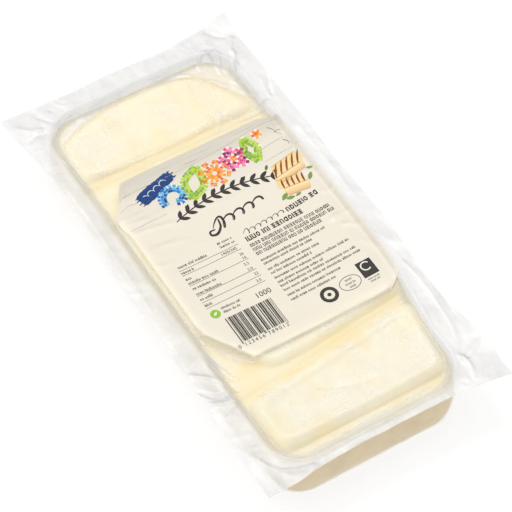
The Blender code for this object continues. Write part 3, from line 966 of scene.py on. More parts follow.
@dataclass
class LidFilm:
    """The lid film: one sheet over the flange and down over the cheese, with all its pleats."""

    shape: PackShape
    finish: FilmFinish
    pitch: float = 0.77
    crinkle_seed: int = 5
    flange_haze: float = 0.55
    gutter_haze: float = 0.44
    groove_haze: float = 0.10
    cheese_haze: float = 0.05
    fold_haze: float = 0.5
    lowest: float = 0.5
    hold_blend: float = 0.12
    hold_reach: float = 3.6
    top_clearance: float = 0.05
    crinkle_count: int = 150
    flange_waves: tuple[Layer, ...] = ((0.26, (15.0, 21.0), 3), (0.06, (5.0, 6.0), 4))
    cheese_waves: tuple[Layer, ...] = ((0.03, (6.0, 15.0), 37), (0.08, (9.0, 14.0), 6))
    cling_waves: tuple[Layer, ...] = ((0.6, (15.0, 26.0), 51), (0.25, (8.0, 12.0), 53))
    cling_haze: float = 0.24
    full_slope: float = 0.8
    clear_middle: float = -86.0
    clear_length: float = 13.0

    def creases(self) -> list[Crease]:
        """Gather the listed pleats and the small ones along the seal."""
        placed = [*FAR_CREASES, *LEFT_CREASES, *RIGHT_CREASES, *NEAR_CREASES]
        return placed + self.seal_crinkles()

    def seal_crinkles(self) -> list[Crease]:
        """Scatter short creases across the seal, roughly square to the mouth's outline."""
        draw = random.Random(self.crinkle_seed)
        mouth = self.shape.mouth
        found = []
        for _ in range(self.crinkle_count):
            angle = draw.uniform(0.0, 2.0 * math.pi)
            far_point = np.array([[400.0 * math.cos(angle), 520.0 * math.sin(angle)]])
            far_point[0] += draw.uniform(-150.0, 150.0)
            inner = mouth.moved(far_point, draw.uniform(1.0, 5.0))[0]
            outer = mouth.moved(far_point, draw.uniform(7.0, 14.0))[0]
            slant = draw.gauss(0.0, 2.6)
            along = np.array([-(outer - inner)[1], (outer - inner)[0]])
            outer = outer + along / np.hypot(*along) * slant
            height = draw.choice((-1.0, 1.0)) * draw.uniform(0.05, 0.26)
            found.append(Crease((tuple(inner), tuple(outer)), height, draw.uniform(0.9, 2.0), 0.45))
        return found

    def grid(self) -> tuple[Array, Array]:
        """Fill the four cut edges with an even grid.

        Returns:
            The places across and along, as rows by columns.
        """
        flange = self.shape.flange
        wide = flange.far_right.corner[0] - flange.far_left.corner[0]
        long = flange.far_right.corner[1] - flange.near_right.corner[1]
        u = np.linspace(0.0, 1.0, round(wide / self.pitch) + 1)
        v = np.linspace(0.0, 1.0, round(long / self.pitch) + 1)
        near, right, far, left = flange.edges(u, v)
        share_u, share_v = u[None, :, None], v[:, None, None]
        sides = left[:, None] * (1 - share_u) + right[:, None] * share_u
        ends = near[None] * (1 - share_v) + far[None] * share_v
        corners = ((near[0] * (1 - share_u) + near[-1] * share_u) * (1 - share_v)
                   + (far[0] * (1 - share_u) + far[-1] * share_u) * share_v)
        points = sides + ends - corners
        return points[..., 0], points[..., 1]

    def pleats(self, x: Array, y: Array) -> Array:
        """Add up the pleats and the film's own slack."""
        height = np.zeros(x.shape)
        for crease in self.creases():
            crease.add_to(x, y, height)
        out = self.shape.mouth.distance(x, y)
        insides = self.shape.insides(x, y)
        on_cheese = smooth((np.maximum.reduce(insides) + 1.0) / 4.0)
        on_flange = smooth((out - 1.0) / 5.0)
        loose = np.maximum(on_flange, smooth((out + 12.0) / 6.0) * (1 - on_cheese))
        near_rim = np.exp(-(((out - 0.5) / 2.2) ** 2))
        height += on_flange * layered(x, y, self.flange_waves)
        sharp = 0.36 * folds(x, y, (17.0, 34.0), 31, 0.3) + 0.09 * folds(x, y, (8.0, 15.0), 35, 1.1)
        height += loose * (1 - 0.7 * near_rim) * sharp
        height += on_cheese * layered(x, y, self.cheese_waves)
        return height

    def height(self, x: Array, y: Array, pleats: Array) -> Array:
        """Give the film's height with its pleats, never less than just over the cheese.

        Args:
            x: Places across.
            y: Places along.
            pleats: Height of the pleats there.

        Returns:
            The film's height.
        """
        height = self.shape.plain_height(x, y) + pleats
        least = self.shape.crowns(x, y) - self.lowest
        above = np.clip((height - least) / self.hold_blend, -30.0, 30.0)
        beyond = np.maximum(height - least - self.hold_reach, 0.0)
        held = least + self.hold_blend * np.log1p(np.exp(above)) + beyond
        return np.where(self.shape.mouth.distance(x, y) < -2.0, held, height)

    def haze(self, x: Array, y: Array, pleats: Array) -> tuple[Array, Array]:
        """Give how milky the film looks, and how far it is greyed and painted with shade.

        Args:
            x: Places across.
            y: Places along.
            pleats: Height of the pleats there.

        Returns:
            The haze, most on the flange and on folds, and the greying with painted shade: grey on the
            flange, greyest in the gutter, and painted shade on the sides of folds that slope away from
            the light.
        """
        out = self.shape.mouth.distance(x, y)
        insides = self.shape.insides(x, y)
        on_cheese = smooth((np.maximum.reduce(insides) + 1.5) / 4.5)
        on_flange = smooth((out + 1.0) / 3.0)
        far_void = smooth((y - 96.0) / 8.0) * smooth(-insides[0] / 3.0)
        loose = np.maximum(smooth((out + 9.0) / 5.0), far_void)
        clear = 0.8 * np.exp(-((y - self.clear_middle) / self.clear_length) ** 4)
        clear = clear * (1 - smooth((x + 50.0) / 8.0))
        loose = loose * (1 - clear * smooth((-out - 2.0) / 3.0))
        haze = self.groove_haze * (1 - loose) + self.gutter_haze * loose
        haze = haze * (1 - on_flange) + self.flange_haze * on_flange
        cling = smooth(0.5 + layered(x, y, self.cling_waves))
        haze = haze * (1 - on_cheese) + (self.cheese_haze + self.cling_haze * cling) * on_cheese
        slope, away = slopes(pleats, self.pitch)
        gutter = smooth((out + 9.0) / 5.0) * (1 - on_flange)
        # Greyer on the flange, more so towards the far end, greyest in the gutter, and a little in the
        # far void.
        grey_and_painted_shade = 0.28 * on_flange * (1 + 0.6 * smooth((y - 100.0) / 40.0)) + 0.8 * gutter + 0.06 * far_void
        folded = self.fold_haze * smooth(slope / self.full_slope)
        # Painted shade on the sides of folds that slope away from the light, added to the greying.
        return haze + folded, 1.8 * np.clip(away, 0.0, 1.0) + grey_and_painted_shade

    def build(self) -> bpy.types.Object:
        """Make the lid film."""
        x, y = self.grid()
        pleats = self.pleats(x, y)
        z = np.minimum(self.height(x, y, pleats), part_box("pack")[1].z / MM - self.top_clearance)
        mesh = sheet_mesh("lid_film", np.stack([x, y, z], axis=-1))
        haze, grey_and_painted_shade = self.haze(x, y, pleats)
        add_attribute(mesh, "haze", haze)
        add_attribute(mesh, "grey_and_painted_shade", grey_and_painted_shade)
        return attach("lid_film", mesh, self.finish.material())


@dataclass
class Tray:
    """The formed tray: the flange's lower film, the walls that swell a little, and the floor."""

    shape: PackShape
    finish: FilmFinish
    pitch: float = 1.6
    gap_below_lid: float = 0.45
    step_drop: float = 1.6
    flange_thickness: float = 0.9
    bulge: float = 1.6
    floor_round: float = 3.0
    floor_height: float = 0.06
    flange_haze: float = 0.50
    wall_haze: float = 0.12
    wide: float = 166.0
    long: float = 327.0
    seal_rings: int = 12

    def build(self) -> bpy.types.Object:
        """Make the tray."""
        shape, mouth = self.shape, self.shape.mouth
        flange = shape.flange
        u = np.linspace(0.0, 1.0, round(self.wide / self.pitch) + 1)
        v = np.linspace(0.0, 1.0, round(self.long / self.pitch) + 1)
        near, right, far, left = flange.edges(u, v)
        loop = np.vstack([near[:-1], right[:-1], far[:0:-1], left[:0:-1]])

        def ring(points: Array, height: Array | float) -> Array:
            """Give a ring its height."""
            return np.column_stack([points, np.broadcast_to(height, len(points))])

        def under_lid(points: Array) -> Array:
            """Place a ring just under the lid film."""
            return ring(points, shape.plain_height(points[:, 0], points[:, 1]) - self.gap_below_lid)

        seal = mouth.moved(loop, 2.2)
        shares = np.linspace(1.0, 0.0, self.seal_rings)
        rings = [under_lid(seal + (loop - seal) * share) for share in shares]
        step = shape.rim_height - self.flange_thickness - shape.bead
        rings.append(ring(mouth.moved(loop, 0.6), step))
        wall_top = step - self.step_drop
        around = np.arange(len(loop)) * self.pitch
        for share in np.linspace(0.0, 1.0, 14):
            height = wall_top + (self.floor_round - wall_top) * share
            swell = self.bulge * math.sin(math.pi * share ** 1.4)
            dent = 0.25 * waves(around, np.full(len(loop), height), (14.0, 9.0), 21)
            rings.append(ring(mouth.moved(loop, swell + dent * math.sin(math.pi * share)), height))
        for turn in (18.0, 36.0, 54.0, 72.0, 90.0):
            angle = math.radians(turn)
            uneven = 0.35 * waves(around, around * 0, (4.0, 1.0), 23) * math.sin(2 * angle)
            lean = self.floor_round * (1.0 - math.cos(angle))
            height = self.floor_height + self.floor_round * (1.0 - math.sin(angle))
            rings.append(ring(mouth.moved(loop, uneven - lean), height))
        rings += [ring(mouth.moved(loop, inset), self.floor_height) for inset in (-9.0, -18.0)]
        mesh = ring_mesh("tray", rings, closed_start=False)
        haze = np.full(len(mesh.vertices), self.wall_haze)
        haze[:self.seal_rings * len(loop)] = self.flange_haze
        add_attribute(mesh, "haze", haze)
        add_attribute(mesh, "grey_and_painted_shade", haze * 0.5)
        return attach("tray", mesh, self.finish.material())


@dataclass
class CheeseRuns:
    """The three runs of cheese: crowned on top, and filling the tray between its walls."""

    shape: PackShape
    finish: CheeseFinish
    spokes: int = 300
    crown_rings: int = 54
    film_gap: float = 0.95
    wall_gap: float = 0.8
    brow_round: float = 3.2
    floor_height: float = 0.6
    floor_round: float = 3.0
    reach: float = 130.0
    groove_gap: float = 0.03
    wall_swell: float = 1.5
    least_round: float = 0.05

    def angles(self) -> Array:
        """Give the spokes' directions."""
        return np.linspace(0.0, 2.0 * math.pi, self.spokes, endpoint=False)

    def outline(self, run: Run, swell: float) -> Array:
        """Find how far a run reaches from its middle in each direction.

        Args:
            run: The run.
            swell: How far the tray's wall swells at this height.

        Returns:
            The reach for each spoke.
        """
        angle = self.angles()
        low, high = np.zeros(self.spokes), np.full(self.spokes, self.reach)
        for _ in range(26):
            half = (low + high) / 2
            x = run.middle[0] + half * np.cos(angle)
            y = run.middle[1] + half * np.sin(angle)
            wall = swell - self.wall_gap - self.shape.mouth.distance(x, y)
            gaps = [line_distance(x, y, line) + self.groove_gap for line in run.walls]
            within = soft_least([wall, *gaps], 1.2) > 0.0
            low, high = np.where(within, half, low), np.where(within, high, half)
        return low

    def warmth(self, run: Run, x: Array, y: Array) -> Array:
        """Give how warm the cheese looks: most in the grooves, and some round each run's edge.

        Args:
            run: The run.
            x: Places across.
            y: Places along.

        Returns:
            The warmth at each place, from 0 to 1.
        """
        inside = run.inside(x, y, self.shape.corner_blend)
        rim = np.exp(-(((inside + 0.5) / 4.0) ** 2))
        gap = np.minimum.reduce([line_distance(x, y, line) for line in run.walls])
        groove = 1.0 - smooth((gap - 1.0) / 7.0)
        uneven = 0.75 + 0.35 * waves(x, y, (17.0, 9.0), 41)
        patch = np.exp(-(((x + 48.0) / 11.0) ** 2 + ((y + 84.0) / 13.0) ** 2))
        groove = groove * (1 - 0.45 * smooth(x / 50.0) * smooth(y / 40.0))
        far_side = smooth((y - 88.0) / 10.0) * (0.10 + 0.25 * smooth((x + 20.0) / 70.0))
        return (0.40 * rim + 0.62 * groove + 0.85 * patch + far_side) * uneven

    def build_run(self, run: Run, material: bpy.types.Material) -> bpy.types.Object:
        """Make one run as a closed solid.

        Args:
            run: The run.
            material: The cheese's material.

        Returns:
            The run's object.
        """
        angle = self.angles()
        direction = np.stack([np.cos(angle), np.sin(angle)], axis=1)
        full = self.outline(run, 0.0)
        edge = np.array(run.middle) + direction * full[:, None]
        gap = np.minimum.reduce([line_distance(edge[:, 0], edge[:, 1], line) for line in run.walls])
        more_round = (self.brow_round - self.least_round) * smooth((gap - 0.4) / 6.0)
        brow_round = self.least_round + more_round
        rings = []

        def add_ring(reach: Array, height: Array | float) -> None:
            """Add a ring at a reach for each spoke."""
            points = np.array(run.middle) + direction * reach[:, None]
            rings.append(np.column_stack([points, np.broadcast_to(height, self.spokes)]))

        for share in 1.0 - np.linspace(0.97, 0.0, self.crown_rings) ** 1.25:
            reach = (full - brow_round) * share
            x = run.middle[0] + direction[:, 0] * reach
            y = run.middle[1] + direction[:, 1] * reach
            uneven = 0.12 * waves(x, y, (9.0, 14.0), 6)
            add_ring(reach, self.shape.crown(run, x, y) - self.film_gap + uneven)
        brim = rings[-1][:, 2]
        for turn in (22.0, 45.0, 67.0, 90.0):
            bend = math.radians(turn)
            add_ring(full - brow_round * (1.0 - math.sin(bend)),
                     brim - brow_round * (1.0 - math.cos(bend)))
        brow = brim - brow_round
        for share in np.linspace(0.1, 1.0, 10):
            height = brow + (self.floor_round - brow) * share
            swell = self.wall_swell * math.sin(math.pi * (0.12 + 0.88 * share) ** 1.4)
            add_ring(self.outline(run, swell), height)
        foot = rings[-1]
        for turn in (30.0, 60.0, 90.0):
            bend = math.radians(turn)
            ring = foot.copy()
            ring[:, :2] -= direction * self.floor_round * (1.0 - math.cos(bend))
            depth = (self.floor_round - self.floor_height) * (1.0 - math.sin(bend))
            ring[:, 2] = self.floor_height + depth
            rings.append(ring)
        mesh = ring_mesh("cheese_" + run.name, rings, closed_start=True)
        x, y, z = np.vstack(rings).T
        add_attribute(mesh, "warmth", self.warmth(run, x, y))
        add_attribute(mesh, "depth", smooth((28.5 - z) / 3.0))
        return attach("cheese_" + run.name, mesh, material)

    def build(self) -> list[bpy.types.Object]:
        """Make the three runs."""
        material = self.finish.material()
        return [self.build_run(run, material) for run in self.shape.runs]


@dataclass
class Label:
    """The paper label over the middle run; its four corners, turned down out of sight, are cut off its
    outline.
    """

    shape: PackShape
    finish: PaperFinish
    pitch: float = 1.0
    gap: float = 0.22
    bridge: float = 3.0
    far_left_turn: Point = (52.5, 0.62)
    far_right_turn: Point = (74.0, 1.8)
    near_left_turn: Point = (-47.0, 0.62)
    near_right_turn: Point = (-69.0, 1.2)
    right_inset: float = 0.12
    foot_fade: float = 4.5
    item: bpy.types.Object | None = field(default=None, init=False)

    def sides(self, y: Array, left: float, right: float) -> tuple[Array, Array]:
        """Give the label's left and right edges at places along it.

        Args:
            y: Places along.
            left: The left edge where nothing is turned down.
            right: The right edge where nothing is turned down.

        Returns:
            The left and right edges.
        """
        def turned(far: Point, near: Point) -> Array:
            """Give how far a turned corner takes the edge in."""
            return np.maximum.reduce([(y - far[0]) * far[1], (near[0] - y) * near[1], y * 0])

        mouth = self.shape.mouth
        right_edge = mouth.left + (right - mouth.left) * mouth.width_share(y)
        return (left + turned(self.far_left_turn, self.near_left_turn),
                right_edge - turned(self.far_right_turn, self.near_right_turn))

    def height(self, x: Array, y: Array, film: LidFilm) -> Array:
        """Lay the paper on the film, bridging dips that are narrower than its own stiffness.

        Args:
            x: Places across.
            y: Places along.
            film: The lid film that it lies on.

        Returns:
            The paper's height.
        """
        low, high = (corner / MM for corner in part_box("label"))
        edge = np.minimum.reduce([x - x.min(axis=1, keepdims=True), x.max(axis=1, keepdims=True) - x,
                                  y - low.y, high.y - y])
        reach = self.bridge * smooth(edge / 9.0)
        steps = (-1.0, -0.5, 0.0, 0.5, 1.0)
        plain = np.maximum.reduce([
            self.shape.plain_height(x + across * reach, y + along * reach)
            for across in steps for along in steps])
        creased = 0.10 * folds(x, y, (16.0, 9.0), 43, 0.3)
        for crease in LABEL_CREASES:
            crease.add_to(x, y, creased)
        laid = plain + creased
        for _ in range(2):
            padded = np.pad(laid, 1, mode="edge")
            laid = (padded[1:-1, 1:-1] * 2 + padded[:-2, 1:-1] + padded[2:, 1:-1]
                    + padded[1:-1, :-2] + padded[1:-1, 2:]) / 6
        covered = film.height(x, y, film.pleats(x, y))
        return np.maximum(laid, covered) + self.gap

    def build(self, film: LidFilm) -> bpy.types.Object:
        """Make the label.

        Args:
            film: The lid film that it lies on.

        Returns:
            The label's object.
        """
        low, high = (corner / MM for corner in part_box("label"))
        rows = np.linspace(low.y, high.y, round((high.y - low.y) / self.pitch) + 1)
        share = np.linspace(0.0, 1.0, round((high.x - low.x) / self.pitch) + 1)
        left, right = self.sides(rows, low.x, high.x - self.right_inset)
        x = left[:, None] + (right - left)[:, None] * share[None, :]
        y = np.repeat(rows[:, None], len(share), axis=1)
        z = self.height(x, y, film)
        mesh = sheet_mesh("label_sheet", np.stack([x, y, z], axis=-1))
        from_left = x - left[:, None]
        from_end = y - low.y
        add_attribute(mesh, "head", smooth((y - 60.0) / 12.0) * 0.8 + 0.2 * smooth((y - 40.0) / 8.0))
        # Towards the left edge and the foot the paper turns a lighter, warmer cream: a tint that matches
        # the cheese, partly painted light that lifts the shade of the fading paper.
        add_attribute(mesh, "edge_tint_and_painted_light",
                      0.55 * (1 - smooth(from_left / 7.0)) * (1 - smooth((y - 40.0) / 20.0))
                      + 0.45 * (1 - smooth(from_end / 14.0)))
        # Painted shade: the paper is darkened on the sides of its creases that slope away from the
        # light, except near its foot.
        away = slopes(z - self.shape.plain_height(x, y), self.pitch)[1]
        turned_away = np.clip(away - 0.02, 0.0, 0.4)
        add_attribute(mesh, "shade", 1.5 * smooth((from_end - 8.0) / 10.0) * turned_away)
        foot = smooth(from_end / self.foot_fade)
        side = smooth((from_left + 0.3) / (2.4 + 2.0 * smooth((-36.0 - y) / 14.0)))
        side = side + (1 - side) * smooth((y - 36.0) / 10.0)
        add_attribute(mesh, "cover", np.minimum(foot, side))
        self.item = attach("label_sheet", mesh, self.finish.material())
        return self.item


class Mark(Enum):
    """The simple shapes that print is made of."""

    BLOCK = 0
    DISC = 1
    LEAF = 2
    RING = 3
    ARCH = 4


@dataclass
class Ink:
    """One print run in one ink: marks to stamp, and ribbons and patches that are drawn out."""

    name: str
    material: bpy.types.Material
    lift: float = 0.08
    marks: list[tuple[float, float, float, float, float, int]] = field(default_factory=list)
    colours: list[Colour] = field(default_factory=list)
    patches: list[Array] = field(default_factory=list)
    patch_colours: list[Array] = field(default_factory=list)

    def stamp(self, x: float, y: float, wide: float, tall: float, turn: float = 0.0,
              shape: Mark = Mark.BLOCK, colour: Colour = PLAIN) -> None:
        """Add one mark.

        Args:
            x: Its middle across.
            y: Its middle along.
            wide: Its width before it is turned.
            tall: Its height before it is turned.
            turn: Its turn, in degrees.
            shape: Its shape.
            colour: Its colour, which only tiles read.
        """
        self.marks.append((x, y, wide, tall, math.radians(turn), shape.value))
        self.colours.append(colour)

    def rule(self, start: Point, end: Point, thick: float, step: float = 2.5) -> None:
        """Draw a straight rule as a narrow ribbon, cut short enough to follow the paper."""
        length = math.dist(start, end)
        count = max(2, math.ceil(length / step) + 1)
        share = np.linspace(0.0, 1.0, count)[:, None]
        path = np.array(start) * (1 - share) + np.array(end) * share
        self.ribbon(path, np.full(count, thick))

    def ribbon(self, path: Array, widths: Array, colour: Colour = PLAIN) -> None:
        """Draw a ribbon along a path.

        Args:
            path: Points along its middle, one to a row.
            widths: Its width at each point.
            colour: Its colour, which only coloured print reads.
        """
        along = np.gradient(path, axis=0)
        along /= np.maximum(np.hypot(along[:, 0], along[:, 1]), 1e-9)[:, None]
        side = np.stack([-along[:, 1], along[:, 0]], axis=1) * widths[:, None] / 2
        self.patches.append(np.stack([path + side, path - side], axis=1))
        self.patch_colours.append(np.tile(colour, (2 * len(path), 1)))

    def patch(self, lower: Array, upper: Array, rows: int = 4,
              colours: tuple[Colour, Colour] = (PLAIN, PLAIN)) -> None:
        """Fill the field between two edges.

        Args:
            lower: Points along the lower edge, one to a row.
            upper: As many points along the upper edge.
            rows: How many bands the field is cut into.
            colours: The colours at the lower and upper edges, which only coloured print reads.
        """
        share = np.linspace(1.0, 0.0, rows + 1)[None, :, None]
        self.patches.append(lower[:, None] * (1 - share) + upper[:, None] * share)
        shades = np.array(colours[0]) * (1 - share) + np.array(colours[1]) * share
        self.patch_colours.append(np.tile(shades, (len(lower), 1, 1)).reshape(-1, 3))


class MarkPress:
    """The node tree that stamps an ink's marks and presses them onto the paper."""

    def __init__(self) -> None:
        """Build the tree once."""
        tree = bpy.data.node_groups.new("mark_press", "GeometryNodeTree")
        for name, kind in (("Geometry", "NodeSocketGeometry"), ("Paper", "NodeSocketObject"),
                           ("Lift", "NodeSocketFloat"), ("Ink", "NodeSocketMaterial")):
            tree.interface.new_socket(name, in_out="INPUT", socket_type=kind)
        tree.interface.new_socket("Geometry", in_out="OUTPUT", socket_type="NodeSocketGeometry")
        self.tree = tree
        graph = Graph(tree)
        given = graph.node("NodeGroupInput")
        size, turn, shape = (
            graph.value("GeometryNodeInputNamedAttribute", "Attribute",
                        {"data_type": kind}, {"Name": name})
            for name, kind in (("mark_size", "FLOAT_VECTOR"), ("mark_turn", "FLOAT"),
                               ("mark_shape", "INT")))
        width = graph.value("ShaderNodeSeparateXYZ", "X", None, {0: size})
        is_mark = graph.value("FunctionNodeCompare", 0,
                              {"data_type": "FLOAT", "operation": "GREATER_THAN"},
                              {0: width, 1: 0.0})
        euler = graph.value("ShaderNodeCombineXYZ", 0, None, {2: turn})
        rotation = graph.value("FunctionNodeEulerToRotation", 0, None, {0: euler})
        placed = graph.node("GeometryNodeInstanceOnPoints", None, {
            "Points": given.outputs["Geometry"], "Selection": is_mark,
            "Instance": self.shapes(graph), "Pick Instance": True,
            "Instance Index": shape, "Rotation": rotation, "Scale": size})
        real = graph.value("GeometryNodeRealizeInstances", 0, None, {0: placed.outputs[0]})
        drawn = graph.value("GeometryNodeDeleteGeometry", 0, {"domain": "POINT"},
                            {"Geometry": given.outputs["Geometry"], "Selection": is_mark})
        joined = graph.node("GeometryNodeJoinGeometry")
        graph.tree.links.new(real.socket, joined.inputs[0])
        graph.tree.links.new(drawn.socket, joined.inputs[0])
        paper = graph.value("GeometryNodeObjectInfo", "Geometry", {"transform_space": "RELATIVE"},
                            {"Object": given.outputs["Paper"]})
        here = graph.value("GeometryNodeInputPosition")
        above = graph.value("ShaderNodeVectorMath", 0, {"operation": "ADD"},
                            {0: here, 1: (0.0, 0.0, 0.2)})
        cast = graph.node("GeometryNodeRaycast", None, {
            "Target Geometry": paper, "Source Position": above,
            "Ray Direction": (0.0, 0.0, -1.0), "Ray Length": 0.4})
        lift = graph.value("ShaderNodeCombineXYZ", 0, None, {2: given.outputs["Lift"]})
        pressed = graph.value("GeometryNodeSetPosition", 0, None, {
            "Geometry": joined.outputs[0], "Selection": cast.outputs["Is Hit"],
            "Position": cast.outputs["Hit Position"], "Offset": lift})
        inked = graph.value("GeometryNodeSetMaterial", 0, None,
                            {"Geometry": pressed, "Material": given.outputs["Ink"]})
        graph.node("NodeGroupOutput", None, {"Geometry": inked})

    @staticmethod
    def shapes(graph: Graph) -> Value:
        """Make one instance of each simple shape, in the order of Mark.

        Args:
            graph: The tree's graph.

        Returns:
            The instances.
        """
        block = graph.value("GeometryNodeMeshGrid", 0, None,
                            {"Size X": 1.0, "Size Y": 1.0, "Vertices X": 2, "Vertices Y": 2})
        disc = graph.value("GeometryNodeMeshCircle", 0, {"fill_type": "NGON"},
                           {"Vertices": 20, "Radius": 0.5})
        place = graph.node("ShaderNodeSeparateXYZ", None,
                           {0: graph.value("GeometryNodeInputPosition")})
        across = Value(graph, place.outputs["Y"])
        pointed = graph.value("ShaderNodeCombineXYZ", 0, None, {
            0: place.outputs["X"], 1: across * graph.math("ABSOLUTE", across) * 2.0})
        leaf = graph.value("GeometryNodeSetPosition", 0, None,
                           {"Geometry": disc, "Position": pointed})
        instances = graph.node("GeometryNodeGeometryToInstance")
        ring, arch = MarkPress.band(graph, 360.0, 15), MarkPress.band(graph, 180.0, 8)
        for made in (arch, ring, leaf, disc, block):
            graph.tree.links.new(made.socket, instances.inputs[0])
        return Value(graph, instances.outputs[0])

    @staticmethod
    def band(graph: Graph, sweep: float, steps: int) -> Value:
        """Make a band of unit width that turns about its middle: a grid bent into an arc.

        Args:
            graph: The tree's graph.
            sweep: How far it turns, in degrees.
            steps: How many pieces it has.

        Returns:
            The band.
        """
        strip = graph.value("GeometryNodeMeshGrid", 0, None,
                            {"Size X": 1.0, "Size Y": 1.0, "Vertices X": steps, "Vertices Y": 2})
        place = graph.node("ShaderNodeSeparateXYZ", None,
                           {0: graph.value("GeometryNodeInputPosition")})
        angle = (Value(graph, place.outputs["X"]) + 0.5) * math.radians(sweep)
        reach = Value(graph, place.outputs["Y"]) * -0.26 + 0.37
        bent = graph.value("ShaderNodeCombineXYZ", 0, None, {
            0: graph.math("COSINE", angle) * reach, 1: graph.math("SINE", angle) * reach})
        return graph.value("GeometryNodeSetPosition", 0, None,
                           {"Geometry": strip, "Position": bent})

    def press(self, ink: Ink, paper: bpy.types.Object) -> bpy.types.Object:
        """Turn an ink's marks, ribbons and patches into one plain mesh on the paper.

        Args:
            ink: The marks to print.
            paper: The label.

        Returns:
            The print's object.
        """
        points = [(x * MM, y * MM, 0.0) for x, y, *_ in ink.marks]
        faces: list[list[int]] = []
        for grid in ink.patches:
            rows, columns = grid.shape[:2]
            index = np.arange(rows * columns).reshape(rows, columns) + len(points)
            faces += grid_faces(index)
            points += [(x * MM, y * MM, 0.0) for x, y in grid.reshape(-1, 2)]
        mesh = bpy.data.meshes.new(ink.name)
        mesh.from_pydata(points, [], faces)
        count = len(ink.marks)
        size = np.zeros((len(points), 3), np.float32)
        turn = np.zeros(len(points), np.float32)
        shape = np.zeros(len(points), np.int32)
        colour = np.ones((len(points), 4), np.float32)
        if count:
            marks = np.array(ink.marks)
            size[:count, :2] = marks[:, 2:4] * MM
            size[:count, 2] = 1.0
            turn[:count] = marks[:, 4]
            shape[:count] = marks[:, 5].astype(int)
            colour[:count, :3] = ink.colours
        if ink.patch_colours:
            colour[count:, :3] = np.vstack(ink.patch_colours)
        for name, kind, values, slot in (
            ("mark_size", "FLOAT_VECTOR", size, "vector"), ("mark_turn", "FLOAT", turn, "value"),
            ("mark_shape", "INT", shape, "value"), ("tile_colour", "FLOAT_COLOR", colour, "color"),
        ):
            mesh.attributes.new(name, kind, "POINT").data.foreach_set(slot, values.ravel())
        return self.press_mesh(ink.name, mesh, ink.material, paper, ink.lift)

    def press_mesh(self, name: str, mesh: bpy.types.Mesh, material: bpy.types.Material,
                   paper: bpy.types.Object, lift: float = 0.08) -> bpy.types.Object:
        """Run the tree on a mesh and keep its result as a plain mesh.

        Args:
            name: The print's name.
            mesh: Loose points to stamp and flat faces to press.
            material: The ink.
            paper: The label.
            lift: How far above the paper it lies.

        Returns:
            The print's object.
        """
        item = add_object(name, mesh)
        modifier = item.modifiers.new("Press", "NODES")
        modifier.node_group = self.tree
        sockets = {socket.name: socket.identifier for socket in self.tree.interface.items_tree
                   if socket.in_out == "INPUT"}
        modifier[sockets["Paper"]] = paper
        modifier[sockets["Lift"]] = lift * MM
        modifier[sockets["Ink"]] = material
        graph = bpy.context.evaluated_depsgraph_get()
        plain = bpy.data.meshes.new_from_object(item.evaluated_get(graph))
        item.modifiers.clear()
        item.data = plain
        bpy.data.meshes.remove(mesh)
        plain.name = name
        plain.materials.clear()
        plain.materials.append(material)
        for spare in ("mark_size", "mark_turn", "mark_shape"):
            if spare in plain.attributes:
                plain.attributes.remove(plain.attributes[spare])
        return item


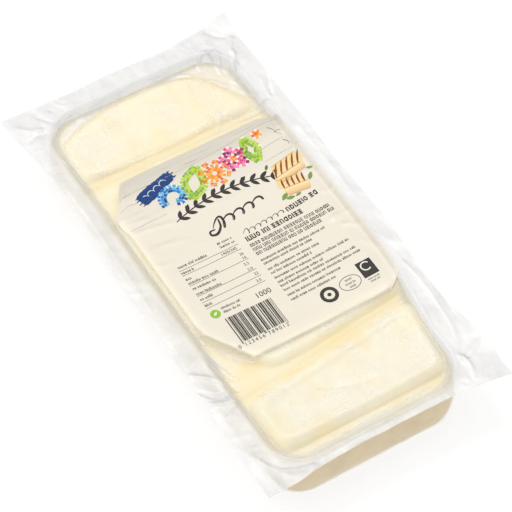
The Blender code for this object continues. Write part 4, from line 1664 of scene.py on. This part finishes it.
@dataclass
class LabelPrint:
    """Everything printed on the label, laid out on the print's own grid in millimetres."""

    press: MarkPress
    paper: bpy.types.Object
    origin: Point = (-0.4, -1.4)
    seed: int = 12
    dark: Colour = from_screen(46, 40, 36)

    def __post_init__(self) -> None:
        """Make the inks that several parts of the print share."""
        self.draw = random.Random(self.seed)
        self.dark_ink = InkFinish("dark_ink", self.dark).material()
        self.grey_ink = InkFinish("grey_ink", from_screen(62, 56, 48)).material()
        self.pieces: list[bpy.types.Object] = []

    def at(self, x: float, y: float) -> Point:
        """Move a place on the print's grid to the pack's frame."""
        return x + self.origin[0], y + self.origin[1]

    def path(self, x: Array, y: Array) -> Array:
        """Move points on the print's grid to the pack's frame, one to a row."""
        return np.stack(self.at(x, y), axis=1)

    @staticmethod
    def ink(name: str, finish: str, screen: tuple[int, int, int], lift: float = 0.08,
            thin: float = 0.06) -> Ink:
        """Start a print run in an ink of its own, which has a screen colour."""
        return Ink(name, InkFinish(finish, from_screen(*screen), thin).material(), lift)

    def finish(self, ink: Ink) -> None:
        """Press one ink and keep its piece."""
        self.pieces.append(self.press.press(ink, self.paper))

    def words(self, ink: Ink, start: float, end: float, base: float, tall: float,
              slope: float = 0.0, bold: float = 1.0, capital: bool = False) -> None:
        """Set one line of stems, rings and arches, spaced like words but with no letters.

        Args:
            ink: The ink that takes the marks.
            start: Where the line starts.
            end: Where it ends.
            base: The foot of its marks.
            tall: Their full height.
            slope: How much the line rises along its length.
            bold: How heavy the marks are.
            capital: Whether all marks have the full height.
        """
        at = start
        turn = math.degrees(math.atan(slope))
        stem = 0.15 * tall * bold
        body = tall if capital else 0.68 * tall

        def mark(left: float, foot: float, wide: float, high: float, shape: Mark) -> None:
            """Stamp one stroke of a made-up sign."""
            x, y = self.at(left + wide / 2, base + foot + high / 2 + slope * (left - start))
            ink.stamp(x, y, wide, high, turn, shape)

        while at < end - 0.5 * tall:
            for _ in range(self.draw.randint(2, 9)):
                kind = self.draw.choice(("bowl", "bowl", "arch", "stem", "cup", "bars"))
                wide = stem if kind == "stem" else (0.58 if capital else 0.50) * tall * bold ** 0.5
                if at + wide > end:
                    break
                if kind == "bowl":
                    mark(at, 0.0, wide, body, Mark.RING)
                    if self.draw.random() < 0.35:
                        mark(at + (wide - stem) * self.draw.choice((0, 1)), 0.0, stem, tall, Mark.BLOCK)
                elif kind == "arch":
                    mark(at, body - wide, wide, wide, Mark.ARCH)
                    mark(at + 0.02 * wide, 0.0, stem, body * 0.9, Mark.BLOCK)
                    mark(at + wide - stem, 0.0, stem, body * 0.6, Mark.BLOCK)
                elif kind == "stem":
                    mark(at, 0.0, stem, self.draw.choice((tall, body)), Mark.BLOCK)
                elif kind == "cup":
                    mark(at, 0.0, stem, body, Mark.BLOCK)
                    mark(at + wide - stem, 0.0, stem, body, Mark.BLOCK)
                    mark(at, 0.0, wide, stem, Mark.BLOCK)
                else:
                    for level in (0.0, 0.5, 1.0):
                        mark(at, level * (body - stem), wide, stem, Mark.BLOCK)
                    mark(at + wide / 2 - stem / 2, 0.0, stem, body, Mark.BLOCK)
                at += wide + tall * 0.14
            at += tall * 0.36

    def tag(self) -> None:
        """Print the blue brushed tag with its pale flourish."""
        blue = self.ink("tag_blue", "tag_blue_ink", (0, 56, 118))
        share = np.linspace(0.0, 1.0, 26)
        start, end = np.array(self.at(-38.0, 59.8)), np.array(self.at(-11.0, 70.2))
        along = (end - start) / np.hypot(*(end - start))
        side = np.array([-along[1], along[0]])
        middle = start + share[:, None] * (end - start)
        rough = waves(share * 40.0, share * 0, (1.1, 1.0), 31) * 0.35
        half = 4.6 + 0.5 * np.sin(share * 5.0)
        half = half * np.where(share < 0.04, 0.72, np.where(share > 0.94, 0.62, 1.0))
        blue.patch(middle - side * (half - rough)[:, None], middle + side * (half + rough)[:, None])
        for offset, reach in ((-3.6, 1.6), (-1.2, 2.6), (1.5, 1.9), (3.4, 1.0)):
            low = start + side * offset
            blue.ribbon(np.stack([low - along * reach, low + along * 1.0]), np.array([0.5, 1.2]))
        for offset, reach in ((-3.0, 1.4), (0.2, 2.2), (2.6, 1.2)):
            high = end + side * offset
            blue.ribbon(np.stack([high - along, high + along * reach]), np.array([1.3, 0.5]))
        self.finish(blue)
        pale = self.ink("tag_flourish", "pale_ink", (236, 240, 240), 0.14)
        turn = np.linspace(0.0, 7.0 * math.pi, 150)
        run = start + along * (4.0 + turn[:, None] * 0.86)
        loop = along * (0.95 * np.sin(turn))[:, None] + side * (1.35 * np.cos(turn) + 0.2)[:, None]
        pale.ribbon(run + loop, 0.34 + 0.14 * np.cos(turn))
        self.finish(pale)

    def tile_stroke(self, tiles: Ink, grout: Ink, path: Array, wide: float,
                    shades: Sequence[Colour]) -> None:
        """Lay a stroke of mosaic, two or three tiles wide, on a pale bed.

        Args:
            tiles: The ink of the tiles.
            grout: The ink of the bed.
            path: Points along the stroke's middle, one to a row, closely spaced.
            wide: The stroke's width.
            shades: The shades that the tiles take.
        """
        path = self.path(*path.T)
        grout.ribbon(path, np.full(len(path), wide + 0.3))
        steps = np.hypot(*np.diff(path, axis=0).T)
        along = np.concatenate([[0.0], np.cumsum(steps)])
        count = max(2, round(along[-1] / 2.3))
        for i in range(count):
            middle = (i + 0.5) / count * along[-1]
            x = np.interp(middle, along, path[:, 0])
            y = np.interp(middle, along, path[:, 1])
            ahead = min(middle + 0.6, along[-1])
            dx = np.interp(ahead, along, path[:, 0]) - np.interp(ahead - 1.2, along, path[:, 0])
            dy = np.interp(ahead, along, path[:, 1]) - np.interp(ahead - 1.2, along, path[:, 1])
            turn = math.atan2(dy, dx)
            lanes = 3 if wide > 5.0 else 2
            cuts = np.arange(1, lanes) / lanes + self.draw.uniform(-0.07, 0.07)
            cuts = np.concatenate([[0.0], cuts, [1.0]]) * wide
            for low, high in zip(cuts, cuts[1:]):
                off = wide / 2 - (low + high) / 2
                tiles.stamp(x - math.sin(turn) * off, y + math.cos(turn) * off,
                            along[-1] / count - 0.14, high - low - 0.14,
                            math.degrees(turn) + self.draw.uniform(-3.0, 3.0), Mark.BLOCK,
                            self.draw.choice(shades))

    def mosaic(self) -> None:
        """Print the row of mosaic motifs: a wave, a leaf, a sun, a flower, a lozenge and a dot."""
        blues = palette((22, 118, 190), (44, 150, 210), (20, 62, 122), (98, 186, 222))
        limes = palette((160, 196, 36), (182, 208, 50), (120, 168, 32))
        oranges = palette((240, 142, 26), (228, 104, 26), (248, 172, 44))
        pinks = palette((228, 70, 132), (240, 130, 172), (140, 30, 92))
        grout = self.ink("mosaic_grout", "grout_ink", (236, 233, 222))
        tiles = Ink("mosaic_tiles", TileFinish().material(), 0.14)

        def round_path(x: float, y: float, radius: Array | float, first: float, last: float) -> Array:
            """Run a path round a middle, between two angles in degrees."""
            angle = np.radians(np.linspace(first, last, 60))
            reach = np.broadcast_to(radius, 60)
            return np.stack([x + reach * np.cos(angle), y + reach * np.sin(angle)], axis=1)

        def straight(*corners: Point) -> Array:
            """Run a closely spaced path through corners."""
            legs = [np.linspace(a, b, 12) for a, b in zip(corners, corners[1:])]
            return np.vstack(legs)

        wave = round_path(-17.6, 53.0, np.linspace(9.0, 4.0, 60), 205.0, -110.0)
        self.tile_stroke(tiles, grout, wave, 5.8, blues)
        for bend in (4.9, -4.9):
            leaf = curve_through(((-9.0, 46.0), (-2.2 - bend, 56.4 + bend * 0.8), (5.0, 67.4)), 20)
            self.tile_stroke(tiles, grout, leaf, 5.4, limes)
        self.tile_stroke(tiles, grout, round_path(12.6, 56.8, 4.4, 0.0, 360.0), 5.6, oranges)
        for i in range(8):
            bearing = math.radians(45.0 * i + 12.0)
            ray = straight((12.6 + 7.5 * math.cos(bearing), 56.8 + 7.5 * math.sin(bearing)),
                           (12.6 + 10.4 * math.cos(bearing), 56.8 + 10.4 * math.sin(bearing)))
            self.tile_stroke(tiles, grout, ray, 4.4, oranges)
        for i in range(5):
            bearing = math.radians(72.0 * i + 90.0)
            x, y = 28.6 + 6.2 * math.cos(bearing), 60.6 + 6.2 * math.sin(bearing)
            self.tile_stroke(tiles, grout, round_path(x, y, 2.0, 0.0, 360.0), 4.4, pinks)
        self.tile_stroke(tiles, grout, straight((26.8, 60.6), (30.4, 60.6)), 4.2, oranges)
        lozenge = straight((41.0, 50.6), (46.2, 61.0), (41.4, 71.4), (36.6, 61.0), (41.0, 50.6))
        self.tile_stroke(tiles, grout, lozenge, 5.2, limes)
        self.tile_stroke(tiles, grout, round_path(50.6, 69.6, 1.8, 0.0, 360.0), 3.8, oranges)
        self.finish(grout)
        self.finish(tiles)

    def branch(self) -> None:
        """Print the dark arched olive branch: a stem, leaves in pairs and small fruit."""
        ink = Ink("olive_branch", self.dark_ink)
        radius, top, middle, leaf_reach = 92.0, 42.2, 8.6, 3.2
        centre_y = top - radius
        angles = np.linspace(-22.6, 22.6, 60)
        bends = np.radians(angles)
        path = self.path(middle + radius * np.sin(bends), centre_y + radius * np.cos(bends))
        ink.ribbon(path, np.interp(np.abs(angles), (0.0, 22.6), (1.0, 0.7)))
        count = 11
        for i in range(count):
            a = -20.6 + 41.2 * i / (count - 1)
            bearing = math.radians(a)
            for side in (-1.0, 1.0):
                lean = -a + side * 42.0
                x = middle + radius * math.sin(bearing) + leaf_reach * math.cos(math.radians(lean))
                y = centre_y + radius * math.cos(bearing) + leaf_reach * math.sin(math.radians(lean))
                ink.stamp(*self.at(x, y), 7.2, 2.7, lean, Mark.LEAF)
            if i % 3 == 1:
                x, y = self.at(middle + (radius + 3.4) * math.sin(bearing + 0.03),
                               centre_y + (radius + 3.4) * math.cos(bearing + 0.03))
                ink.stamp(x, y, 2.2, 2.2, 0.0, Mark.DISC)
        self.finish(ink)

    def flourish(self) -> None:
        """Print the dark pen flourish: a long entry stroke and a run of loops."""
        ink = Ink("pen_flourish", self.dark_ink)
        turn = np.linspace(-0.6 * math.pi, 8.6 * math.pi, 260)
        lean = 0.42
        tall = 2.9 + 2.6 * np.exp(-((turn - 1.2) / 2.6) ** 2)
        x = -5.6 + turn * 1.12 + 2.0 * np.sin(turn)
        y = 21.0 + tall * np.cos(turn) + turn * 0.12
        x = x + lean * (y - 21.0)
        ink.ribbon(self.path(x, y), 1.0 + 0.6 * np.sin(turn + 0.6))
        sweep = curve_through(((-4.0, 24.6), (-5.4, 19.0), (-9.6, 15.0), (-13.4, 15.6),
                               (-13.0, 18.4), (-9.4, 18.6)), 10)
        ink.ribbon(self.path(*sweep.T),
                   np.interp(np.linspace(0, 1, len(sweep)), (0.0, 0.4, 1.0), (1.0, 1.9, 0.9)))
        self.finish(ink)

    def picture(self) -> None:
        """Print the picture field: a pile of plain grilled slices on a few green leaves."""
        base = Ink("grilled_slices", TileFinish("slices_ink").material())
        upper = Ink("slices_detail", TileFinish("detail_ink").material(), 0.14)
        leaf_shades = palette((86, 112, 40), (120, 146, 60), (62, 88, 34))
        for x, y, wide, turn in ((40.0, 18.0, 7.0, 34.0), (42.6, 15.4, 6.0, -8.0),
                                 (48.0, 15.2, 4.6, 12.0), (61.6, 23.4, 6.4, 48.0),
                                 (64.6, 29.4, 4.6, -20.0), (42.0, 43.4, 4.6, 52.0)):
            base.stamp(*self.at(x, y), wide, wide * 0.44, turn, Mark.LEAF,
                       self.draw.choice(leaf_shades))
        slabs = ((52.6, 34.4, 22.0, 9.0, 5.0, 3.0, 9.0), (50.6, 22.4, 17.0, 7.6, 6.0, -2.4, -7.0))
        front = palette((222, 180, 118), (246, 224, 178))
        top = palette((244, 214, 156), (240, 204, 138))
        crust, bar_brown = palette((206, 148, 76), (128, 66, 28))
        share = np.linspace(0.0, 1.0, 30)
        for x, y, wide, tall, thick, slant, turn in slabs:
            cos, sin = math.cos(math.radians(turn)), math.sin(math.radians(turn))

            def spot(across: Array, up: Array) -> Array:
                """Place points of this slice."""
                return np.stack([x + across * cos - up * sin + self.origin[0],
                                 y + across * sin + up * cos + self.origin[1]], axis=1)

            across = (share - 0.5) * wide
            ends = (1.0 - np.abs(2.0 * share - 1.0) ** 16.0) ** 0.5
            uneven = 0.28 * waves(across, across * 0, (3.4, 1.0), int(x))
            foot = -thick * ends + uneven
            edge, brow = uneven * 0.6, tall * (0.3 + 0.7 * ends) - uneven
            base.patch(spot(across, foot), spot(across, edge), 4, front)
            base.patch(spot(across, edge), spot(across + slant, brow), 6, top)
            upper.ribbon(spot(across, edge)[1:-1], 0.20 + 0.30 * ends[1:-1], crust)
            upper.ribbon(spot(across, foot)[2:-2], 0.34 * ends[2:-2], crust)
            upper.ribbon(spot(across + slant, brow)[2:-2], 0.34 * ends[2:-2], crust)
            for bar in (-0.44, -0.24, -0.04, 0.16, 0.36):
                up = np.linspace(tall * 0.02, tall * 0.96, 8)
                lean = np.stack([bar * wide + (slant / tall + 0.26) * up + 0.02 * up ** 2, up])
                widths = np.array([0.7, 1.0, 1.2, 1.3, 1.3, 1.2, 0.9, 0.5])
                upper.ribbon(spot(*lean), widths, bar_brown)
            for _ in range(5):
                fleck = spot(np.array([self.draw.uniform(-0.4, 0.4) * wide]),
                             np.array([self.draw.uniform(0.1, 0.85) * tall]))[0]
                upper.stamp(*fleck, 0.9, 0.5, self.draw.uniform(0.0, 180.0), Mark.LEAF,
                            leaf_shades[0])
        self.finish(base)
        self.finish(upper)

    def boards(self) -> None:
        """Print the thin joints of the pale board background."""
        ink = self.ink("board_joints", "joint_ink", (168, 162, 146), thin=0.5)
        joints = (
            ((-39.0, 69.2), (-10.0, 69.8), (24.0, 71.6), (52.0, 74.6), (68.0, 74.2)),
            ((-51.0, 66.0), (-45.0, 68.6), (-39.6, 69.2)),
            ((-53.0, 58.6), (-47.0, 60.6), (-40.0, 60.2)),
            ((47.0, 57.4), (56.0, 58.4), (64.0, 59.2)),
            ((-54.4, 42.6), (-42.0, 43.4), (-29.0, 44.0)),
            ((43.7, 47.7), (58.0, 48.8), (69.0, 49.4)),
            ((65.4, 59.0), (64.6, 56.0), (65.8, 53.4), (65.2, 50.4)),
            ((66.0, 48.0), (65.2, 45.4), (65.6, 42.4)),
        )
        for number, joint in enumerate(joints):
            path = curve_through(joint, 12)
            path[:, 1] += 0.12 * waves(path[:, 0], path[:, 0] * 0, (2.3, 1.0), 50 + number)
            widths = 0.26 + 0.12 * waves(path[:, 0], path[:, 1], (3.0, 3.0), 70 + number)
            ink.ribbon(path + np.array(self.origin), widths)
        self.finish(ink)
        cracks = Ink("label_cracks", self.grey_ink)
        for crack in (((59.0, 70.6), (61.8, 67.0), (61.0, 65.0), (64.4, 61.4)),
                      ((61.0, 65.0), (63.6, 65.6), (65.6, 64.8)),
                      ((62.6, 57.4), (64.8, 53.8), (63.8, 51.8))):
            path = np.array(crack) + np.array(self.origin)
            cracks.ribbon(path, np.linspace(0.42, 0.16, len(path)))
        self.finish(cracks)

    def table(self) -> None:
        """Print the table: a heading, rules, and rows with a stroke group at each end."""
        ink = Ink("table_print", self.grey_ink)
        self.words(ink, -44.0, -22.0, 3.2, 2.2)
        self.words(ink, -14.4, -3.9, 7.4, 2.0)
        self.words(ink, -14.0, -3.9, 4.2, 2.0)
        for y in (1.5, -2.5, -11.0, -20.0, -25.5, -30.5):
            ink.rule(self.at(-44.7, y - 0.2), self.at(-3.3, y + 0.5), 0.24)
        rows = ((-1.6, 9.0, "1400/340"), (-7.0, 4.6, "26"), (-10.2, 21.0, "16"),
                (-14.9, 16.5, "2.2"), (-19.4, 18.0, "2.0"), (-24.1, 9.0, "22"),
                (-29.3, 5.0, "2.5"))
        for base, left, _ in rows:
            self.words(ink, -44.4, -44.4 + left, base, 2.1)
        self.figures("table_figures", [
            (body, -3.6 - 1.62 * len(body), base + 0.5, 2.9, 1.0) for base, _, body in rows])
        self.words(ink, -37.0, -23.0, -35.4, 1.9)
        self.words(ink, -37.0, -24.6, -38.6, 1.9)
        self.finish(ink)
        self.figures("weight_figures", (("1000", -14.8, -39.0, 5.4, 1.0),))

    def column(self) -> None:
        """Print the right column: a small flourish, two heavy lines and lines of fine strokes."""
        heavy = Ink("heading_print", self.dark_ink)
        turn = np.linspace(-0.5 * math.pi, 13.0 * math.pi, 300)
        x = 4.4 + (turn + 1.6) * 0.66 + 0.95 * np.sin(turn)
        y = 7.0 + (1.4 + 1.3 * np.exp(-((turn - 0.6) / 1.8) ** 2)) * np.cos(turn) + turn * 0.05
        x = x + 0.4 * (y - 7.0)
        heavy.ribbon(self.path(x, y), 0.42 + 0.2 * np.sin(turn))
        self.words(heavy, 35.2, 59.8, 7.0, 3.7, 0.09, 1.35, True)
        self.words(heavy, 2.6, 46.6, 0.4, 3.7, 0.025, 1.35, True)
        self.finish(heavy)
        fine = Ink("column_print", self.grey_ink)
        for end, base, tall in ((61.0, -4.4, 2.6), (61.0, -8.0, 2.6), (50.6, -11.6, 2.6),
                                (48.9, -16.7, 2.1), (36.9, -19.8, 2.1), (38.6, -24.7, 2.1),
                                (31.0, -28.2, 2.1), (56.4, -32.2, 2.1), (34.6, -35.9, 2.1),
                                (55.8, -39.2, 2.1), (58.0, -42.8, 2.1), (39.7, -47.1, 2.1),
                                (34.6, -51.0, 2.1)):
            self.words(fine, 2.2, end, base, tall, 0.022, 1.0, tall > 2.5)
        self.finish(fine)

    def bars(self) -> None:
        """Print the bar field, of bars and gaps drawn at random, and plain figures under it."""
        ink = self.ink("bar_field", "bar_ink", (20, 18, 17))
        module, low, high = 0.33, -62.0, -42.3
        at, end = -38.9, -7.3
        while at < end:
            wide = module * self.draw.choice((1, 1, 2, 2, 3))
            guard = at < -37.6 or abs(at + 23.1) < 0.8 or at > end - 1.3
            foot = low - (1.4 if guard else 0.0)
            ink.rule(self.at(at + wide / 2, foot), self.at(at + wide / 2, high), wide, 3.0)
            at += wide + module * self.draw.choice((1, 1, 1, 2, 2, 3))
        self.finish(ink)
        self.figures("bar_figures", (("0 123456 789012", -42.4, -65.4, 3.7, 1.32),))

    def figures(self, name: str,
                lines: Sequence[tuple[str, float, float, float, float]]) -> None:
        """Print plain figures.

        Args:
            name: The piece's name.
            lines: Each line's figures, its start across, its foot, its size and its spacing.
        """
        points: list[tuple[float, float, float]] = []
        faces: list[tuple[int, ...]] = []
        for body, left, foot, size, spacing in lines:
            curve = bpy.data.curves.new(name, "FONT")
            curve.body = body
            curve.size = size * MM
            curve.space_character = spacing
            curve.resolution_u = 3
            item = add_object(name, curve)
            graph = bpy.context.evaluated_depsgraph_get()
            flat = bpy.data.meshes.new_from_object(item.evaluated_get(graph))
            x, y = self.at(left, foot)
            first = len(points)
            points += [(v.co.x + x * MM, v.co.y + y * MM, 0.0) for v in flat.vertices]
            faces += [tuple(first + i for i in face.vertices) for face in flat.polygons]
            bpy.data.objects.remove(item)
            bpy.data.curves.remove(curve)
            bpy.data.meshes.remove(flat)
        mesh = bpy.data.meshes.new(name)
        mesh.from_pydata(points, [], faces)
        self.pieces.append(self.press.press_mesh(name, mesh, self.dark_ink, self.paper))

    def badges(self) -> None:
        """Print the small round, oval and square marks, all plain."""
        green = self.ink("green_disc", "disc_ink", (140, 190, 40))
        green.stamp(*self.at(-41.8, -36.6), 6.4, 6.4, 0.0, Mark.DISC)
        self.finish(green)
        dark = Ink("badge_shapes", self.dark_ink)
        across = np.linspace(47.9, 58.1, 12)
        dark.patch(self.path(across, across * 0 - 60.4), self.path(across, across * 0 - 48.4), 12)
        turn = np.linspace(0.0, 2.0 * math.pi, 49)
        ring = np.stack([np.cos(turn), np.sin(turn)], axis=1)
        centre = np.array(self.at(23.6, -58.9))
        dark.ribbon(centre + ring * 4.55, np.full(49, 2.3))
        dark.stamp(*centre, 2.6, 2.6, 0.0, Mark.DISC)
        oval = np.array(self.at(38.8, -58.1)) + ring * np.array((7.0, 5.1))
        dark.ribbon(oval, np.full(49, 0.36))
        for y, half in ((-56.2, 2.2), (-59.0, 3.6), (-61.6, 2.0)):
            self.words(dark, 38.8 - half, 38.8 + half, y, 1.7, 0.0, 0.7)
        self.words(dark, 49.0, 57.4, -62.6, 1.3)
        self.words(dark, 49.6, 56.8, -64.6, 1.3)
        self.finish(dark)
        pale = self.ink("badge_lights", "badge_pale_ink", (232, 228, 214), 0.2)
        arc = np.stack([np.cos(turn[:38] + 0.6), np.sin(turn[:38] + 0.6)], axis=1)
        pale.ribbon(np.array(self.at(53.0, -52.8)) + arc * 3.0, np.full(38, 0.9))
        pale.stamp(*self.at(-41.8, -36.6), 3.8, 1.5, 40.0, Mark.LEAF)
        self.finish(pale)

    def build(self) -> list[bpy.types.Object]:
        """Print the whole label."""
        for part in (self.boards, self.tag, self.mosaic, self.branch, self.flourish, self.picture,
                     self.table, self.column, self.bars, self.badges):
            part()
        return self.pieces


@dataclass
class Studio:
    """The camera at the photograph's angle, the pale floor and the soft light."""

    target: tuple[float, float, float] = (6.7, -3.3, 19.0)
    azimuth: float = -31.2
    elevation: float = 52.85
    distance: float = 1343.0
    lens: float = 154.7
    sensor: float = 36.0
    floor_size: float = 6.0
    zenith: float = 0.86
    horizon: float = 0.42
    floor_glow: float = 0.77
    lamps: tuple[tuple[str, tuple[float, float, float], float, float], ...] = (
        ("key", (-0.55, 0.75, 1.5), 1.3, 9.0),
        ("spark", (0.34, 0.36, 1.62), 0.32, 4.4),
    )

    def build(self) -> None:
        """Make the camera, the floor and the lights."""
        self.add_camera()
        self.add_floor()
        self.add_light()
        view = bpy.context.scene.view_settings
        view.view_transform = "Standard"
        view.look = "None"

    def add_camera(self) -> None:
        """Place the camera."""
        a, e = math.radians(self.azimuth), math.radians(self.elevation)
        back = Vector((math.sin(a) * math.cos(e), -math.cos(a) * math.cos(e), math.sin(e)))
        data = bpy.data.cameras.new("camera")
        data.lens, data.sensor_width = self.lens, self.sensor
        data.clip_start, data.clip_end = 0.05, 20.0
        camera = add_object("camera", data)
        camera.location = Vector(self.target) * MM + back * self.distance * MM
        camera.rotation_mode = "QUATERNION"
        camera.rotation_quaternion = (-back).to_track_quat("-Z", "Y")
        bpy.context.scene.camera = camera

    def add_floor(self) -> None:
        """Lay the floor."""
        half = self.floor_size / 2
        mesh = bpy.data.meshes.new("floor")
        corners = [(-half, -half, 0.0), (half, -half, 0.0), (half, half, 0.0), (-half, half, 0.0)]
        mesh.from_pydata(corners, [], [(0, 1, 2, 3)])
        material, graph, shader = new_material("floor_white", {
            "Roughness": 0.9, "Specular IOR Level": 0.1, "Emission Color": (1.0, 1.0, 1.0, 1.0),
            "Emission Strength": self.floor_glow})
        shade = graph.noise(graph.place(), 3.0) * 0.02
        graph.feed(shader.inputs["Base Color"],
                   graph.blend(shade, (0.25, 0.25, 0.25), (0.2, 0.2, 0.2)))
        attach("floor", mesh, material)

    def add_light(self) -> None:
        """Light the scene with a sky that is brighter overhead, and two lamps."""
        world = bpy.data.worlds.new("sky")
        world.use_nodes = True
        graph = Graph(world.node_tree)
        height = graph.node("ShaderNodeSeparateXYZ", None,
                            {0: graph.value("ShaderNodeTexCoord", "Generated")})
        level = graph.between(Value(graph, height.outputs["Z"]), -0.1, 0.9)
        background = world.node_tree.nodes["Background"]
        graph.feed(background.inputs["Strength"],
                   level * (self.zenith - self.horizon) + self.horizon)
        background.inputs["Color"].default_value = (1.0, 1.0, 1.0, 1.0)
        bpy.context.scene.world = world
        for name, place, size, power in self.lamps:
            lamp = bpy.data.lights.new(name, "AREA")
            lamp.shape = "DISK"
            lamp.size = size
            lamp.energy = power
            item = add_object(name, lamp)
            item.location = Vector(place)
            item.rotation_mode = "QUATERNION"
            item.rotation_quaternion = (-item.location).to_track_quat("-Z", "Y")


def dress(item: bpy.types.Object, node: str | None = None) -> None:
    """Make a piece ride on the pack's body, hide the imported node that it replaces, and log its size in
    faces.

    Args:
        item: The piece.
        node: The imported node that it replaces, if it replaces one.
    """
    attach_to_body(item, BODY)
    if node:
        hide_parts(node)
    LOG.info("%s: %d faces", item.name, len(item.data.polygons))


def main() -> None:
    """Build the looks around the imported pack."""
    logging.basicConfig(level=logging.INFO, format="%(message)s")
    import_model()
    shape = PackShape.from_frame()
    lid = LidFilm(shape, FilmFinish("lid_film_clear"))
    dress(lid.build(), "pack")
    dress(Tray(shape, FilmFinish("tray_film_clear")).build(), "pack")
    for run in CheeseRuns(shape, CheeseFinish()).build():
        dress(run, "pack")
    label = Label(shape, PaperFinish())
    dress(label.build(lid), "label")
    for piece in LabelPrint(MarkPress(), label.item).build():
        dress(piece, "label")
    Studio().build()


if __name__ == "__main__":
    main()
